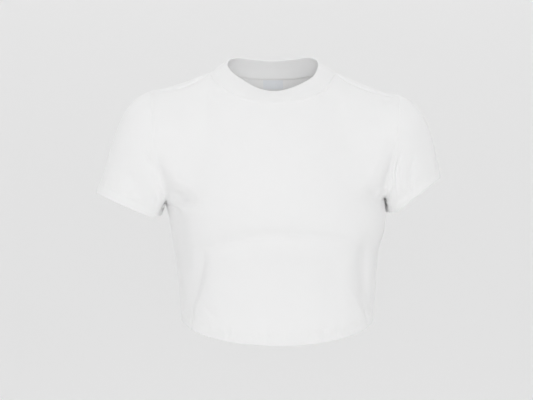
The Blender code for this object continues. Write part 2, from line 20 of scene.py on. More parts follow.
import bpy
import numpy as np
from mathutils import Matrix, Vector

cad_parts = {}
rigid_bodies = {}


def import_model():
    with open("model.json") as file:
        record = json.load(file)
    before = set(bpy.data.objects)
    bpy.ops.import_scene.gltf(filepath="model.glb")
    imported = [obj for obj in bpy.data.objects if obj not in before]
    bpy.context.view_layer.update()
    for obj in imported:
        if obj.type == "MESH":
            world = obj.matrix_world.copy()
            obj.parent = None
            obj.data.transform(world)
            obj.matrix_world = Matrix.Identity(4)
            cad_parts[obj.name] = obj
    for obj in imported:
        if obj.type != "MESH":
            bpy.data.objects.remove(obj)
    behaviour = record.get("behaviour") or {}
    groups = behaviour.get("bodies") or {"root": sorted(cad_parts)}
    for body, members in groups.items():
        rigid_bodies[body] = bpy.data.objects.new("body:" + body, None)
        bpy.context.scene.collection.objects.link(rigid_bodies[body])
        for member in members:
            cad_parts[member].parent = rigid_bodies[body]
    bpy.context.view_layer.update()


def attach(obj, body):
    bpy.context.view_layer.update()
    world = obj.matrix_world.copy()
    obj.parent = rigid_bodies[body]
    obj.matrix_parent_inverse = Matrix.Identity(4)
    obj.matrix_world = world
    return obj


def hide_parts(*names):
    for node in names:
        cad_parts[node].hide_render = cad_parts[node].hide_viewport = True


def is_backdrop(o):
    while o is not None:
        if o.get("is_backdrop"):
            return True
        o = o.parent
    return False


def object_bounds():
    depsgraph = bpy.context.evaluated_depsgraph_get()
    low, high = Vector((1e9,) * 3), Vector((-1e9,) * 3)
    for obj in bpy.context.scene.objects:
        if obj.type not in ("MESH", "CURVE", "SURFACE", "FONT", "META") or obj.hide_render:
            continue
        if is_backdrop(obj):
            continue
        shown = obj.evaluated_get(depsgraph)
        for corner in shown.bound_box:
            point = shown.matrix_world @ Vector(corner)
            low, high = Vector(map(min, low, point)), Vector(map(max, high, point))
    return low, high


LOG = logging.getLogger("crop_top")
BODY = "root"
UV_NAME = "cloth"
TINY = 1e-9
SHARP_ANGLE = math.radians(50)
SEAM_MATCH = 0.00001
STEEPEST_MITRE = 0.5

Array = np.ndarray
Item = bpy.types.Object
Material = bpy.types.Material
Socket = bpy.types.NodeSocket
Point = tuple[float, float, float]
Row = TypeVar("Row", bound=tuple)


class Face(Enum):
    """The half of the garment, by the sign of its Y."""

    FRONT = -1
    BACK = 1


class Section(NamedTuple):
    """One level section of the body: its height, and its reach to each side, to the front and to the back."""

    height: float
    left: float
    right: float
    front: float
    back: float


class NeckRow(NamedTuple):
    """Heights of a curve round the neck, at an angle from the middle of the front."""

    angle: float
    left: float
    right: float


class ShoulderRow(NamedTuple):
    """A point of the shoulder seam: its place from the neckline to the armhole, and its heights."""

    along: float
    forward: float
    left: float
    right: float


class Arrival(NamedTuple):
    """How the cloth arrives at a panel's top edge.

    The place runs from the middle of the neckline, 0, to its end, 1, and out to the armhole, 2.
    """

    place: float
    inwards: float
    backwards: float
    upwards: float


class Fold(NamedTuple):
    """A trough pressed into the cloth along a path of (x, z) seen from the front.

    A depth below 0 is a ridge. Where pieces is empty, the fold presses every piece that it crosses.
    A lean above 0 makes it wider, and so flatter, on the left of its path's direction, and narrower
    and steeper on the right.
    """

    face: Face
    half_width: float
    depth: float
    path: tuple[tuple[float, float], ...]
    pieces: tuple[str, ...] = ()
    lean: float = 0.0


def read_rows(plain: int, table: str) -> list[tuple[float, ...]]:
    """Reads a table's lines.

    Args:
        plain: how many of a line's first numbers are plain. The others are in millimetres.
        table: the lines.

    Returns:
        The numbers, with the lengths in metres.
    """
    rows = [line.replace(",", " ").split() for line in table.strip().splitlines()]
    return [tuple(float(word if n < plain else f"{word}e-3") for n, word in enumerate(row)) for row in rows]


def rows_of(kind: type[Row], table: str) -> tuple[Row, ...]:
    """Reads a table into rows of one kind, whose first number is a length only in a level section."""
    return tuple(kind(*row) for row in read_rows(0 if kind is Section else 1, table))


def smoothstep(value: Array) -> Array:
    """Eases a value from 0 to 1.

    Args:
        value: any numbers; those below 0 or above 1 are held there.

    Returns:
        The eased numbers.
    """
    value = np.clip(value, 0.0, 1.0)
    return value * value * (3 - 2 * value)


def smooth_through(places: Sequence[float], values: Sequence[float], at: Array) -> Array:
    """Reads a smooth curve through the values, sloping at each place as its neighbours do.

    Args:
        places: where the values are, rising.
        values: the values there.
        at: the places to read.

    Returns:
        The curve's values there.
    """
    places, values = np.asarray(places, float), np.asarray(values, float)
    slopes = np.gradient(values, places)
    at = np.clip(np.asarray(at, float), places[0], places[-1])
    left = np.clip(np.searchsorted(places, at, side="right") - 1, 0, len(places) - 2)
    step = places[left + 1] - places[left]
    t = (at - places[left]) / step
    return (
        (1 + 2 * t) * (1 - t) ** 2 * values[left]
        + t * (1 - t) ** 2 * step * slopes[left]
        + t * t * (3 - 2 * t) * values[left + 1]
        - t * t * (1 - t) * step * slopes[left + 1]
    )


def from_table(rows: Sequence[tuple[float, ...]], at: Array) -> list[Array]:
    """Reads each column of a table at places in its first column."""
    places, *columns = zip(*rows)
    return [smooth_through(places, column, at) for column in columns]


def spline_weights(knots: Array, at: Array) -> Array:
    """Weights that carry values at the knots to a smooth bending curve's values at other places.

    Args:
        knots: where the values are, rising.
        at: the places to read.

    Returns:
        A matrix with a row for each place and a column for each knot.
    """
    count, gaps = len(knots), np.diff(knots)
    balance, load = np.eye(count), np.zeros((count, count))
    for i in range(1, count - 1):
        before, after = gaps[i - 1], gaps[i]
        balance[i, i - 1 : i + 2] = before, 2 * (before + after), after
        load[i, i - 1 : i + 2] = 6 / before, -6 / before - 6 / after, 6 / after
    bend = np.linalg.solve(balance, load)
    left = np.clip(np.searchsorted(knots, at, side="right") - 1, 0, count - 2)
    gap = gaps[left][:, None]
    high = (np.asarray(at)[:, None] - knots[left][:, None]) / gap
    low = 1 - high
    eye = np.eye(count)
    straight = low * eye[left] + high * eye[left + 1]
    return straight + gap**2 / 6 * ((low**3 - low) * bend[left] + (high**3 - high) * bend[left + 1])


def hermite(start: Array, end: Array, leaving: Array, arriving: Array, t: Array) -> Array:
    """Reads the curve from start to end with these directions at its ends.

    Args:
        start: its first point, or points.
        end: its last.
        leaving: the direction at its start.
        arriving: the direction at its end.
        t: places along it, from 0 to 1.

    Returns:
        The points there.
    """
    t = np.asarray(t)[..., None]
    return (
        (1 + 2 * t) * (1 - t) ** 2 * start
        + t * (1 - t) ** 2 * leaving
        + t * t * (3 - 2 * t) * end
        - t * t * (1 - t) * arriving
    )


def unit(vectors: Array) -> Array:
    """The vectors at length 1."""
    return vectors / np.linalg.norm(vectors, axis=-1, keepdims=True)


def mixed(low: Sequence[float], high: Sequence[float], share: Array) -> Array:
    """The direction between two others, at a share of the way."""
    return unit(np.array(low) * (1 - share) + np.array(high) * share)


def arc_lengths(points: Array, axis: int) -> Array:
    """Lengths along a grid's lines from their first points.

    Args:
        points: the grid.
        axis: 0 along columns, 1 along rows.

    Returns:
        A length for each point.
    """
    steps = np.linalg.norm(np.diff(points, axis=axis), axis=-1)
    start = np.zeros_like(np.take(steps, [0], axis=axis))
    return np.concatenate([start, np.cumsum(steps, axis=axis)], axis=axis)


def read_off(lines: Array, lengths: Array, at: Array) -> Array:
    """Reads values along each line at given lengths.

    Args:
        lines: values, by line, by place, by axis.
        lengths: how far along its line each place is.
        at: the lengths to read, by line.

    Returns:
        The values there.
    """
    result = np.empty((*at.shape, lines.shape[-1]))
    for number, (line, length, wanted) in enumerate(zip(lines, lengths, at)):
        for axis in range(lines.shape[-1]):
            result[number, :, axis] = np.interp(wanted, length, line[:, axis])
    return result


def sampled(grid: Array, rows: Array, columns: Array) -> Array:
    """Points of a grid at fractional rows and columns.

    Args:
        grid: the grid.
        rows: the rows, whole or not.
        columns: the columns.

    Returns:
        The points.
    """
    r = np.clip(np.floor(rows).astype(int), 0, grid.shape[0] - 2)
    c = np.clip(np.floor(columns).astype(int), 0, grid.shape[1] - 2)
    u, v = (rows - r)[..., None], (columns - c)[..., None]
    low = grid[r, c] * (1 - v) + grid[r, c + 1] * v
    high = grid[r + 1, c] * (1 - v) + grid[r + 1, c + 1] * v
    return low * (1 - u) + high * u


@dataclass(frozen=True)
class Uneven:
    """A smooth unevenness through space, the same in each run."""

    wave: float
    seed: int
    waves: int = 7
    spread: tuple[float, float] = (0.7, 1.6)

    def at(self, points: Array) -> Array:
        """Values of about -1 to 1 at points.

        Args:
            points: the points.

        Returns:
            The values.
        """
        draw = np.random.default_rng(self.seed)
        turns = unit(draw.normal(size=(self.waves, 3)))
        turns = turns / (self.wave * draw.uniform(*self.spread, (self.waves, 1)))
        starts = draw.uniform(0, 1, self.waves)
        return np.sin(2 * math.pi * (points @ turns.T + starts)).sum(-1) / math.sqrt(self.waves)


@dataclass(frozen=True)
class Oval:
    """A closed curve round the neck, by angles from the middle of the front."""

    half_width: float
    front: float
    back: float
    centre: float
    heights: tuple[NeckRow, ...]

    def at(self, degrees: Array) -> Array:
        """Points of the curve at these angles.

        Args:
            degrees: the angles.

        Returns:
            The points.
        """
        angle = np.radians(degrees)
        depth = np.where(np.cos(angle) > 0, self.front, self.back)
        x, y = self.centre + self.half_width * np.sin(angle), -depth * np.cos(angle)
        return np.stack([x, y, self.height(degrees)], axis=-1)

    def height(self, degrees: Array) -> Array:
        """Heights at these angles. The two sides pass smoothly into each other.

        Args:
            degrees: the angles.

        Returns:
            The heights.
        """
        turn = [(-row.angle, row.left) for row in self.heights[:0:-1]]
        turn += [(row.angle, row.right) for row in self.heights]
        before, after = (turn[-2][0] - 360, turn[-2][1]), (turn[1][0] + 360, turn[1][1])
        angles, heights = zip(before, *turn, after)
        return smooth_through(angles, heights, degrees)


NECKLINE = Oval(
    half_width=0.0885,
    front=0.058,
    back=0.056,
    centre=0.0012,
    heights=rows_of(NeckRow, """
        0 -51.8 -51.8
        22 -48.2 -49.2
        34 -44 -46
        45 -38.3 -41.6
        56 -31.5 -36
        68 -24 -26.2
        80 -17.5 -18
        90 -14.2 -13.2
        105 -12.5 -13
        120 -12.5 -15
        135 -15.5 -18
        150 -21.3 -22
        180 -24.8 -24.8
    """),
)
BAND_EDGE = Oval(
    half_width=0.0666,
    front=0.040,
    back=0.050,
    centre=0.0009,
    heights=rows_of(NeckRow, """
        0 -38.8 -38.8
        20 -34 -35.5
        40 -23.5 -28
        60 -14 -19.5
        75 -7 -11.3
        90 -1.2 -2
        110 4 4.5
        127 5.4 6.2
        150 2.5 3
        180 -0.4 -0.4
    """),
)


@dataclass(frozen=True)
class Sleeve:
    """One sleeve's cut: its armhole, its cuff and the directions in which its cloth runs."""

    name: str
    side: int
    underarm: Point
    shoulder: Point
    cuff_outer: Point
    cuff_inner: Point
    cuff_depth: float
    cuff_front: Point
    start_top: Point
    start_bottom: Point
    end_top: Point
    end_bottom: Point
    armhole_bulge: float
    armhole_front: float = 0.058
    armhole_back: float = 0.056
    low_reach: float = 5.4
    high_reach: float = 2.6
    bulge_place: float = 0.15
    fold_forward: float = 0.022
    outer_squareness: float = 2.0
    fold_sharpness: float = 1.7
    back_squareness: float = 2.5
    tuck: float = 0.020
    corner_lift: float = 0.005
    corner_reach: float = 0.12

    def armhole(self, face: Face, t: Array) -> Array:
        """Half the armhole from the underarm, t = 0, to the shoulder seam, t = 1.

        It rises slowly at first, runs forward, and bulges towards the neck just above the underarm.

        Args:
            face: over the front or the back.
            t: places along it.

        Returns:
            The points there.
        """
        depth = face.value * (self.armhole_front if face is Face.FRONT else self.armhole_back)
        forward = t * (1 - t) ** 2 * self.low_reach + t**2 * (1 - t) * self.high_reach
        rise = t**3 * (10 - 15 * t + 6 * t**2) * (1 - t) + smoothstep(t) * t
        start, end = np.array(self.underarm), np.array(self.shoulder)
        curve = start + rise[..., None] * (end - start)
        curve[..., 1] += depth * forward
        near = t / self.bulge_place * np.exp(1 - t / self.bulge_place)
        curve[..., 0] -= self.side * self.armhole_bulge * near**3
        return curve

    def cuff(self, angle: Array) -> Array:
        """The cuff's edge: a rounded outer half, and an inner half that a fold ends in front.

        Args:
            angle: the turn from the outer end, over the front.

        Returns:
            The points there.
        """
        outer, inner = np.array(self.cuff_outer), np.array(self.cuff_inner)
        wide, deep = np.cos(angle), np.sin(angle)
        inwards = np.clip(-wide, 0, 1)
        sharpness = np.where(deep > 0, self.fold_sharpness, self.back_squareness)
        power = 2 / np.where(wide > 0, self.outer_squareness, sharpness)
        wide = np.sign(wide) * np.abs(wide) ** power
        deep = np.sign(deep) * np.abs(deep) ** power
        forward = np.where(inwards > 0, self.fold_forward * (1 - np.abs(deep)), 0.0)
        reach = self.cuff_depth * deep + forward
        tuck = self.tuck * inwards * np.clip(-deep, 0, 1)
        corner = self.corner_lift * np.exp(-(((1 + wide) / self.corner_reach) ** 2))
        points = (outer + inner) / 2 + wide[:, None] * (outer - inner) / 2
        points = points + reach[:, None] * np.array(self.cuff_front)
        points[:, 0] -= self.side * tuck
        return points - corner[:, None] * np.array(self.end_bottom)

    def lines(self, half: Array, places: Array) -> Array:
        """Lines of the sleeve's cloth from the armhole to the cuff.

        Args:
            half: places of the lines round half the armhole, from the underarm to the shoulder.
            places: places along each line, from 0 to 1.

        Returns:
            Points by line and place. The lines run over the front and return over the back.
        """
        root = np.concatenate([self.armhole(Face.FRONT, half), self.armhole(Face.BACK, half[::-1])[1:-1]])
        angle = np.radians(np.concatenate([180 * (1 - half), -180 * (1 - half[::-1])[1:-1]]))
        cuff = self.cuff(angle)
        length = np.linalg.norm(cuff - root, axis=1)[:, None]
        top = ((1 + np.cos(angle)) / 2)[:, None]
        leaving = length * mixed(self.start_bottom, self.start_top, top)
        arriving = length * mixed(self.end_bottom, self.end_top, top)
        ends = (root[:, None], cuff[:, None], leaving[:, None], arriving[:, None])
        return hermite(*ends, places[None, :])


SLEEVES = (
    Sleeve(
        name="sleeve_right",
        side=-1,
        underarm=(-0.1573, 0.000, -0.2021),
        shoulder=(-0.1748, -0.008, -0.0405),
        cuff_outer=(-0.2585, 0.000, -0.1888),
        cuff_inner=(-0.1695, 0.000, -0.2285),
        cuff_depth=0.050,
        cuff_front=(0.093, -0.985, 0.092),
        start_top=(-0.965, 0.0, -0.260),
        start_bottom=(-0.370, 0.0, -0.930),
        end_top=(-0.447, 0.0, -0.894),
        end_bottom=(-0.370, 0.0, -0.930),
        armhole_bulge=0.004,
    ),
    Sleeve(
        name="sleeve_left",
        side=1,
        underarm=(0.1655, 0.000, -0.1965),
        shoulder=(0.1841, -0.008, -0.0479),
        cuff_outer=(0.2490, 0.010, -0.1686),
        cuff_inner=(0.1765, 0.010, -0.2255),
        cuff_depth=0.052,
        cuff_front=(-0.100, -0.985, 0.135),
        start_top=(0.965, 0.0, -0.260),
        start_bottom=(0.510, 0.0, -0.860),
        end_top=(0.270, 0.0, -0.963),
        end_bottom=(0.510, 0.0, -0.860),
        armhole_bulge=0.002,
    ),
)


@dataclass(frozen=True)
class Body:
    """The cut of the front and the back, which meet at the side seams and on the shoulders."""

    sections: tuple[Section, ...] = rows_of(Section, """
        -380 -133.7 150.2 98 80
        -336 -136.3 152.8 99.5 76.5
        -298.5 -140.5 154.6 103.5 75.5
        -276 -143.2 157.3 108 76.5
        -253.5 -146.7 163.7 114.5 78.5
        -231 -150.2 166.4 119.5 81.5
        -200.2 -157.3 165.3 121.5 86
    """)
    squareness: float = 2.2
    hem_dip_front: float = 0.017
    hem_dip_back: float = 0.006
    hem_depth: float = 0.018
    hem_step: float = 0.002
    shoulder_seam: tuple[ShoulderRow, ...] = rows_of(ShoulderRow, """
        0 0 -14.2 -13.2
        0.17 7 -21.7 -24.5
        0.42 13 -32.5 -35
        0.74 13 -38.6 -44.5
        1 8 -40.5 -47.9
    """)
    front_arrivals: tuple[Arrival, ...] = rows_of(Arrival, """
        0 0 80 110
        0.5 15 90 110
        0.85 30 110 90
        1 20 130 70
        1.2 0 150 100
        1.5 0 150 130
        1.8 0 150 100
        2 0 150 30
    """)
    back_arrivals: tuple[Arrival, ...] = rows_of(Arrival, """
        0 0 -45 120
        0.5 10 -70 105
        0.85 10 -110 20
        1 0 -130 -60
        1.2 0 -150 -100
        1.5 0 -150 -130
        1.8 0 -150 -100
        2 0 -150 -30
    """)
    front_departure: Point = (0.000, 0.015, 0.150)
    back_departure: Point = (0.000, 0.025, 0.150)
    armhole_bite: float = 0.24
    bite_roundness: float = 0.7
    pull_start: float = 0.3
    neck_share: float = 0.44
    yoke_length: float = 0.170
    # The solids' own grid, and how its smoothing was done
    neck_columns: int = 14
    shoulder_columns: int = 8
    body_rows: int = 13
    yoke_rows: int = 14
    hem_rows: int = 3
    iron_times: int = 20
    iron_steps: tuple[float, float] = (0.50, -0.52)
    iron_ease_rows: int = 5
    # How finely the grid is read off between the solids' own rows and columns
    finer: int = 6
    finer_neck: int = 6
    finer_at_seam: int = 12
    fine_hem_rows: int = 13
    seam_fade: float = 0.022

    @property
    def hem(self) -> float:
        """Height of the hem at the side seams."""
        return self.sections[0].height

    @property
    def underarm(self) -> float:
        """Height of the last section."""
        return self.sections[-1].height

    def across(self, neck_cells: int, shoulder_cells: Sequence[int]) -> Array:
        """Places across a panel, from -1 at one side to 1 at the other.

        Args:
            neck_cells: how many cells meet the neckline.
            shoulder_cells: how many cells there are in each of the solids' own on a shoulder.

        Returns:
            The places.
        """
        neck = np.linspace(-self.neck_share, self.neck_share, neck_cells + 1)
        own = np.linspace(self.neck_share, 1.0, self.shoulder_columns + 1)
        cells = [np.linspace(a, b, n + 1)[1:] for a, b, n in zip(own, own[1:], shoulder_cells)]
        shoulder = np.concatenate(cells)
        return np.concatenate([-shoulder[::-1], neck, shoulder])

    def coarse_across(self) -> Array:
        """The solids' own places across a panel."""
        return self.across(self.neck_columns, [1] * self.shoulder_columns)

    def fine_across(self) -> Array:
        """The fine places across a panel, closest set beside the armholes."""
        cells = [self.finer] * (self.shoulder_columns - 1) + [self.finer_at_seam]
        return self.across(self.neck_columns * self.finer_neck, cells)

    def coarse_heights(self) -> Array:
        """The solids' own heights from the hem to the underarm."""
        above = np.linspace(self.hem + self.hem_depth + self.hem_step, self.underarm, self.body_rows + 1)
        return np.concatenate([np.linspace(self.hem, self.hem + self.hem_depth, self.hem_rows), above])

    def fine_heights(self) -> Array:
        """The fine heights, with two close rows where the turned-up hem ends inside.

        Returns:
            The heights.
        """
        turn_up = np.linspace(self.hem, self.hem + self.hem_depth, self.fine_hem_rows)
        above = np.linspace(
            self.hem + self.hem_depth + TURN_UP.step, self.underarm, self.body_rows * self.finer + 1
        )
        return np.concatenate([turn_up, above])

    def fine_rise(self) -> Array:
        """The fine places up a panel's upper part, closest set below its top edge.

        Returns:
            The places, from above 0 to 1.
        """
        last = 1 - 1 / self.yoke_rows
        cells = (self.yoke_rows - 1) * self.finer
        return np.concatenate(
            [np.linspace(0, last, cells + 1)[1:], np.linspace(last, 1, self.finer_at_seam + 1)[1:]]
        )

    def ring(self, across: Array, height: float, face: Face) -> Array:
        """Points of one level section, over the front or the back half.

        Args:
            across: places across, -1 to 1.
            height: its height.
            face: over the front or the back.

        Returns:
            The points.
        """
        left, right, front, back = from_table(self.sections, height)
        depth = front if face is Face.FRONT else back
        angle = across * math.pi / 2
        power = 2 / self.squareness
        half = (right - left) / 2
        x = (left + right) / 2 + half * np.sign(angle) * np.abs(np.sin(angle)) ** power
        y = face.value * depth * np.abs(np.cos(angle)) ** power
        return np.stack([x, y, np.full_like(x, height)], axis=-1)

    def tilt(self, across: Array) -> Array:
        """How far the underarm's height differs from the last section, from side to side."""
        return np.interp(across, [-1, 1], [sleeve.underarm[2] - self.underarm for sleeve in SLEEVES])

    def lower(self, across: Array, heights: Array, face: Face) -> Array:
        """Rows of a panel from the hem to the underarm, the hem dipping towards its middle.

        Args:
            across: places across, -1 to 1.
            heights: the rows' heights.
            face: over the front or the back.

        Returns:
            The grid.
        """
        dip = self.hem_dip_front if face is Face.FRONT else self.hem_dip_back
        rows = []
        for height in heights:
            row = self.ring(across, height, face)
            low = (self.underarm - height) / (self.underarm - self.hem)
            row[:, 2] += self.tilt(across) * (1 - low) - dip * low * np.cos(across * math.pi / 2) ** 2
            rows.append(row)
        return np.array(rows)

    def seam_on_shoulder(self, side: int, along: float) -> Array:
        """A point of the shoulder seam, 0 at the neckline and 1 at the armhole.

        Args:
            side: -1 for the wearer's right, 1 for the left.
            along: the place.

        Returns:
            The point.
        """
        start = NECKLINE.centre + side * NECKLINE.half_width
        end = SLEEVES[0 if side < 0 else 1].shoulder[0]
        forward, left, right = from_table(self.shoulder_seam, along)
        return np.array([start + (end - start) * along, -forward, left if side < 0 else right])

    def top_edge(self, across: Array, face: Face) -> Array:
        """The top edge of a panel: half the neckline, with a shoulder seam on each side of it.

        Args:
            across: places across, -1 to 1.
            face: over the front or the back.

        Returns:
            The points.
        """
        points = []
        for place in across:
            if abs(place) <= self.neck_share + TINY:
                turn = place / self.neck_share * 90
                degrees = turn if face is Face.FRONT else math.copysign(180, turn) - turn
                points.append(NECKLINE.at(np.array(degrees)))
            else:
                along = (abs(place) - self.neck_share) / (1 - self.neck_share)
                points.append(self.seam_on_shoulder(int(math.copysign(1, place)), along))
        return np.array(points)

    def arriving(self, across: Array, face: Face) -> Array:
        """The direction in which each column of a panel arrives at the top edge.

        Args:
            across: places across, -1 to 1.
            face: over the front or the back.

        Returns:
            The directions.
        """
        table = self.front_arrivals if face is Face.FRONT else self.back_arrivals
        size = np.abs(across)
        beyond = 1 + (size - self.neck_share) / (1 - self.neck_share)
        place = np.where(size <= self.neck_share, size / self.neck_share, beyond)
        inwards, backwards, upwards = from_table(table, place)
        return np.stack([-np.sign(across) * inwards, backwards, upwards], axis=-1)

    def upper(self, across: Array, rise: Array, face: Face) -> Array:
        """Rows of a panel above the underarm, bitten into by the armholes and pulled out to them.

        Args:
            across: places across, -1 to 1.
            rise: places up, from above 0 to 1.
            face: over the front or the back.

        Returns:
            The grid.
        """
        end = self.top_edge(across, face)
        leaving = np.array(self.front_departure if face is Face.FRONT else self.back_departure)
        arriving = self.arriving(across, face)
        span = 1 - self.pull_start
        pull = [smoothstep((side * across - self.pull_start) / span) for side in (-1, 1)]
        rows = []
        for t in rise:
            bite = self.armhole_bite * max(math.sin(math.pi * t), 0.0) ** self.bite_roundness
            start = self.lower(across * (1 - bite * across**2), [self.underarm], face)[0]
            row = hermite(start, end, leaving, arriving, np.full(len(across), t))
            for sleeve, weight, edge in zip(SLEEVES, pull, (0, -1)):
                row = row + weight[:, None] * (sleeve.armhole(face, np.array(t)) - row[edge])
            rows.append(row)
        return np.array(rows)

    def ironed(self, points: Array, first_row: int) -> Array:
        """The grid with sharp bends smoothed out of it above a row. Its border stays as it is.

        Args:
            points: the grid.
            first_row: the last row that is left as it is.

        Returns:
            The new grid.
        """
        result = points.copy()
        rows = np.arange(1, len(result) - 1)
        share = np.clip((rows - first_row) / self.iron_ease_rows, 0, 1)[:, None, None]
        for step in self.iron_steps * self.iron_times:
            around = (result[:-2, 1:-1] + result[2:, 1:-1] + result[1:-1, :-2] + result[1:-1, 2:]) / 4
            result[1:-1, 1:-1] += step * share * (around - result[1:-1, 1:-1])
        return result

    def coarse(self, face: Face) -> Array:
        """The solids' own grid of a panel.

        Args:
            face: over the front or the back.

        Returns:
            The grid.
        """
        across, heights = self.coarse_across(), self.coarse_heights()
        rise = np.linspace(0, 1, self.yoke_rows + 1)[1:]
        points = np.concatenate([self.lower(across, heights, face), self.upper(across, rise, face)])
        return self.ironed(points, first_row=len(heights) - self.iron_ease_rows)

    def levels(self, heights: Array, rise: Array) -> Array:
        """Places up a panel, in metres from the hem."""
        lower = heights - self.hem
        return np.concatenate([lower, lower[-1] + rise * self.yoke_length])

    def fine(self, face: Face) -> Array:
        """The fine grid of a panel. Its sewn edges lie exactly on the seams' own curves.

        Args:
            face: over the front or the back.

        Returns:
            The grid, its columns running as seen from outside.
        """
        heights, rise, across = self.fine_heights(), self.fine_rise(), self.fine_across()
        own_rise = np.linspace(0, 1, self.yoke_rows + 1)[1:]
        own_levels = self.levels(self.coarse_heights(), own_rise)
        levels = self.levels(heights, rise)
        up = spline_weights(own_levels, levels)
        sideways = spline_weights(self.coarse_across(), across)
        points = np.einsum("ri,icx,jc->rjx", up, self.coarse(face), sideways)
        top = self.top_edge(across, face)
        near_top = 1 - smoothstep((levels[-1] - levels) / self.seam_fade)
        points += near_top[:, None, None] * (top - points[-1])[None]
        for sleeve, edge, side in zip(SLEEVES, (0, -1), (-1, 1)):
            seam = self.lower(np.array([float(side)]), heights, face)[:, 0]
            seam = np.concatenate([seam, sleeve.armhole(face, rise)])
            reach = arc_lengths(points, 1)
            reach = reach if edge == 0 else reach[:, -1:] - reach
            near = 1 - smoothstep(reach / self.seam_fade)
            points += near[..., None] * (seam - points[:, edge])[:, None]
        return points if face is Face.FRONT else points[:, ::-1]


@dataclass(frozen=True)
class TurnUp:
    """A hem or cuff turned up inside and sewn with two rows of stitches."""

    depth: float = 0.018
    step: float = 0.0003
    stitch_rows: tuple[float, float] = (0.0114, 0.0164)
    pillow: float = 0.00016
    pillow_power: float = 1.5
    groove: float = 0.00014
    groove_reach: float = 0.0011
    tunnel: float = 0.00010
    pucker: float = 0.00032
    pucker_reach: float = 0.0055
    puckers: Uneven = Uneven(wave=0.0105, seed=31)

    def relief(self, distance: Array, nearest: Array) -> Array:
        """How the outside rises and dips at each distance from the folded edge.

        Args:
            distance: how far each point lies from the folded edge.
            nearest: the point of the edge that it lies above.

        Returns:
            Heights off the cloth.
        """
        low, high = self.stitch_rows
        pillow = self.pillow * np.sin(math.pi * np.clip(distance / low, 0, 1)) ** self.pillow_power
        tunnel = self.tunnel * np.sin(math.pi * np.clip((distance - low) / (high - low), 0, 1))
        grooves = sum(np.exp(-(((distance - row) / self.groove_reach) ** 2)) for row in self.stitch_rows)
        waves = self.puckers.at(nearest) * np.exp(-(((distance - high) / self.pucker_reach) ** 2))
        return pillow + tunnel - self.groove * grooves + self.pucker * waves


TURN_UP = TurnUp()


@dataclass(frozen=True)
class Seam:
    """A seam: the groove where two pieces meet, shallow troughs beside it, and a ridge on one piece."""

    ridge: float
    ridge_start: float
    ridge_end: float
    pucker: float
    pucker_reach: float = 0.009
    groove: float = 0.00030
    groove_reach: float = 0.0010
    beside: float = 0.0
    beside_place: float = 0.0042
    beside_reach: float = 0.0022
    swelling: float = 0.3
    swell: Uneven = Uneven(wave=0.034, seed=11)
    puckers: Uneven = Uneven(wave=0.014, seed=12)

    def relief(self, distance: Array, nearest: Array, ridged: bool) -> Array:
        """How the outside rises and dips at each distance from the seam.

        Args:
            distance: how far each point lies from the seam.
            nearest: the point of the seam that it lies beside.
            ridged: whether the allowance lies under this piece.

        Returns:
            Heights off the cloth.
        """
        waves = self.pucker * self.puckers.at(nearest) * np.exp(-distance / self.pucker_reach)
        height = waves - self.groove * np.exp(-((distance / self.groove_reach) ** 2))
        beside = (distance - self.beside_place) / self.beside_reach
        height = height - self.beside * np.exp(-(beside**2))
        if ridged:
            fall = (distance - self.ridge_end / 2) / (self.ridge_end / 2)
            rise = smoothstep(distance / self.ridge_start) * (1 - smoothstep(fall))
            height = height + self.ridge * (1 + self.swelling * self.swell.at(nearest)) * rise
        return height


NECK_SEAM = Seam(ridge=0.00060, ridge_start=0.0020, ridge_end=0.0058, pucker=0.00004, groove=0.00006)
ARMHOLE_SEAM = Seam(
    ridge=0.00012, ridge_start=0.0010, ridge_end=0.0044, pucker=0.00014, groove=-0.00022, beside=0.00015
)
SHOULDER_SEAM = Seam(
    ridge=0.00100, ridge_start=0.0034, ridge_end=0.0100, pucker=0.00010, groove=0.00170, groove_reach=0.0034
)
SIDE_SEAM = Seam(ridge=0.00045, ridge_start=0.0014, ridge_end=0.0070, pucker=0.00028)


def read_folds(face: Face, pieces: tuple[str, ...], table: str) -> tuple[Fold, ...]:
    """Reads folds from a table, a line for each.

    Args:
        face: the half of the garment that they press.
        pieces: the pieces that they press; none for every piece that they cross.
        table: lean, half width, depth and the path's points, in millimetres except the lean.

    Returns:
        The folds.
    """
    found = []
    for lean, half_width, depth, *path in read_rows(1, table):
        found.append(Fold(face, half_width, depth, tuple(zip(path[::2], path[1::2])), pieces, lean))
    return tuple(found)


# The largest folds, which the solids have too
LARGE_FOLDS = (
    *read_folds(Face.FRONT, (), """
        0 15 3.5 -134,-266 -74,-252 10,-237 75,-246 140,-262
        0 14 4.5 -97,-275 -106,-318 -119,-358
        0 14 4 128,-275 122,-315 138,-352
        0 12 3 -155,-186 -122,-190
        0 13 3.5 158,-178 134,-186
        0 10 2.5 -152,-208 -134,-216
        0 8 3 200,-130 188,-190
    """),
    *read_folds(Face.BACK, (), """
        0 14 4 -100,-250 -60,-290 -40,-340
        0 14 4 110,-240 65,-285 50,-335
        0 12 3.5 -150,-190 -105,-160
        0 12 3.5 158,-186 110,-158
    """),
)

BODY_PIECES = ("front", "back")
RIGHT_SLEEVE = ("sleeve_right",)
LEFT_SLEEVE = ("sleeve_left",)

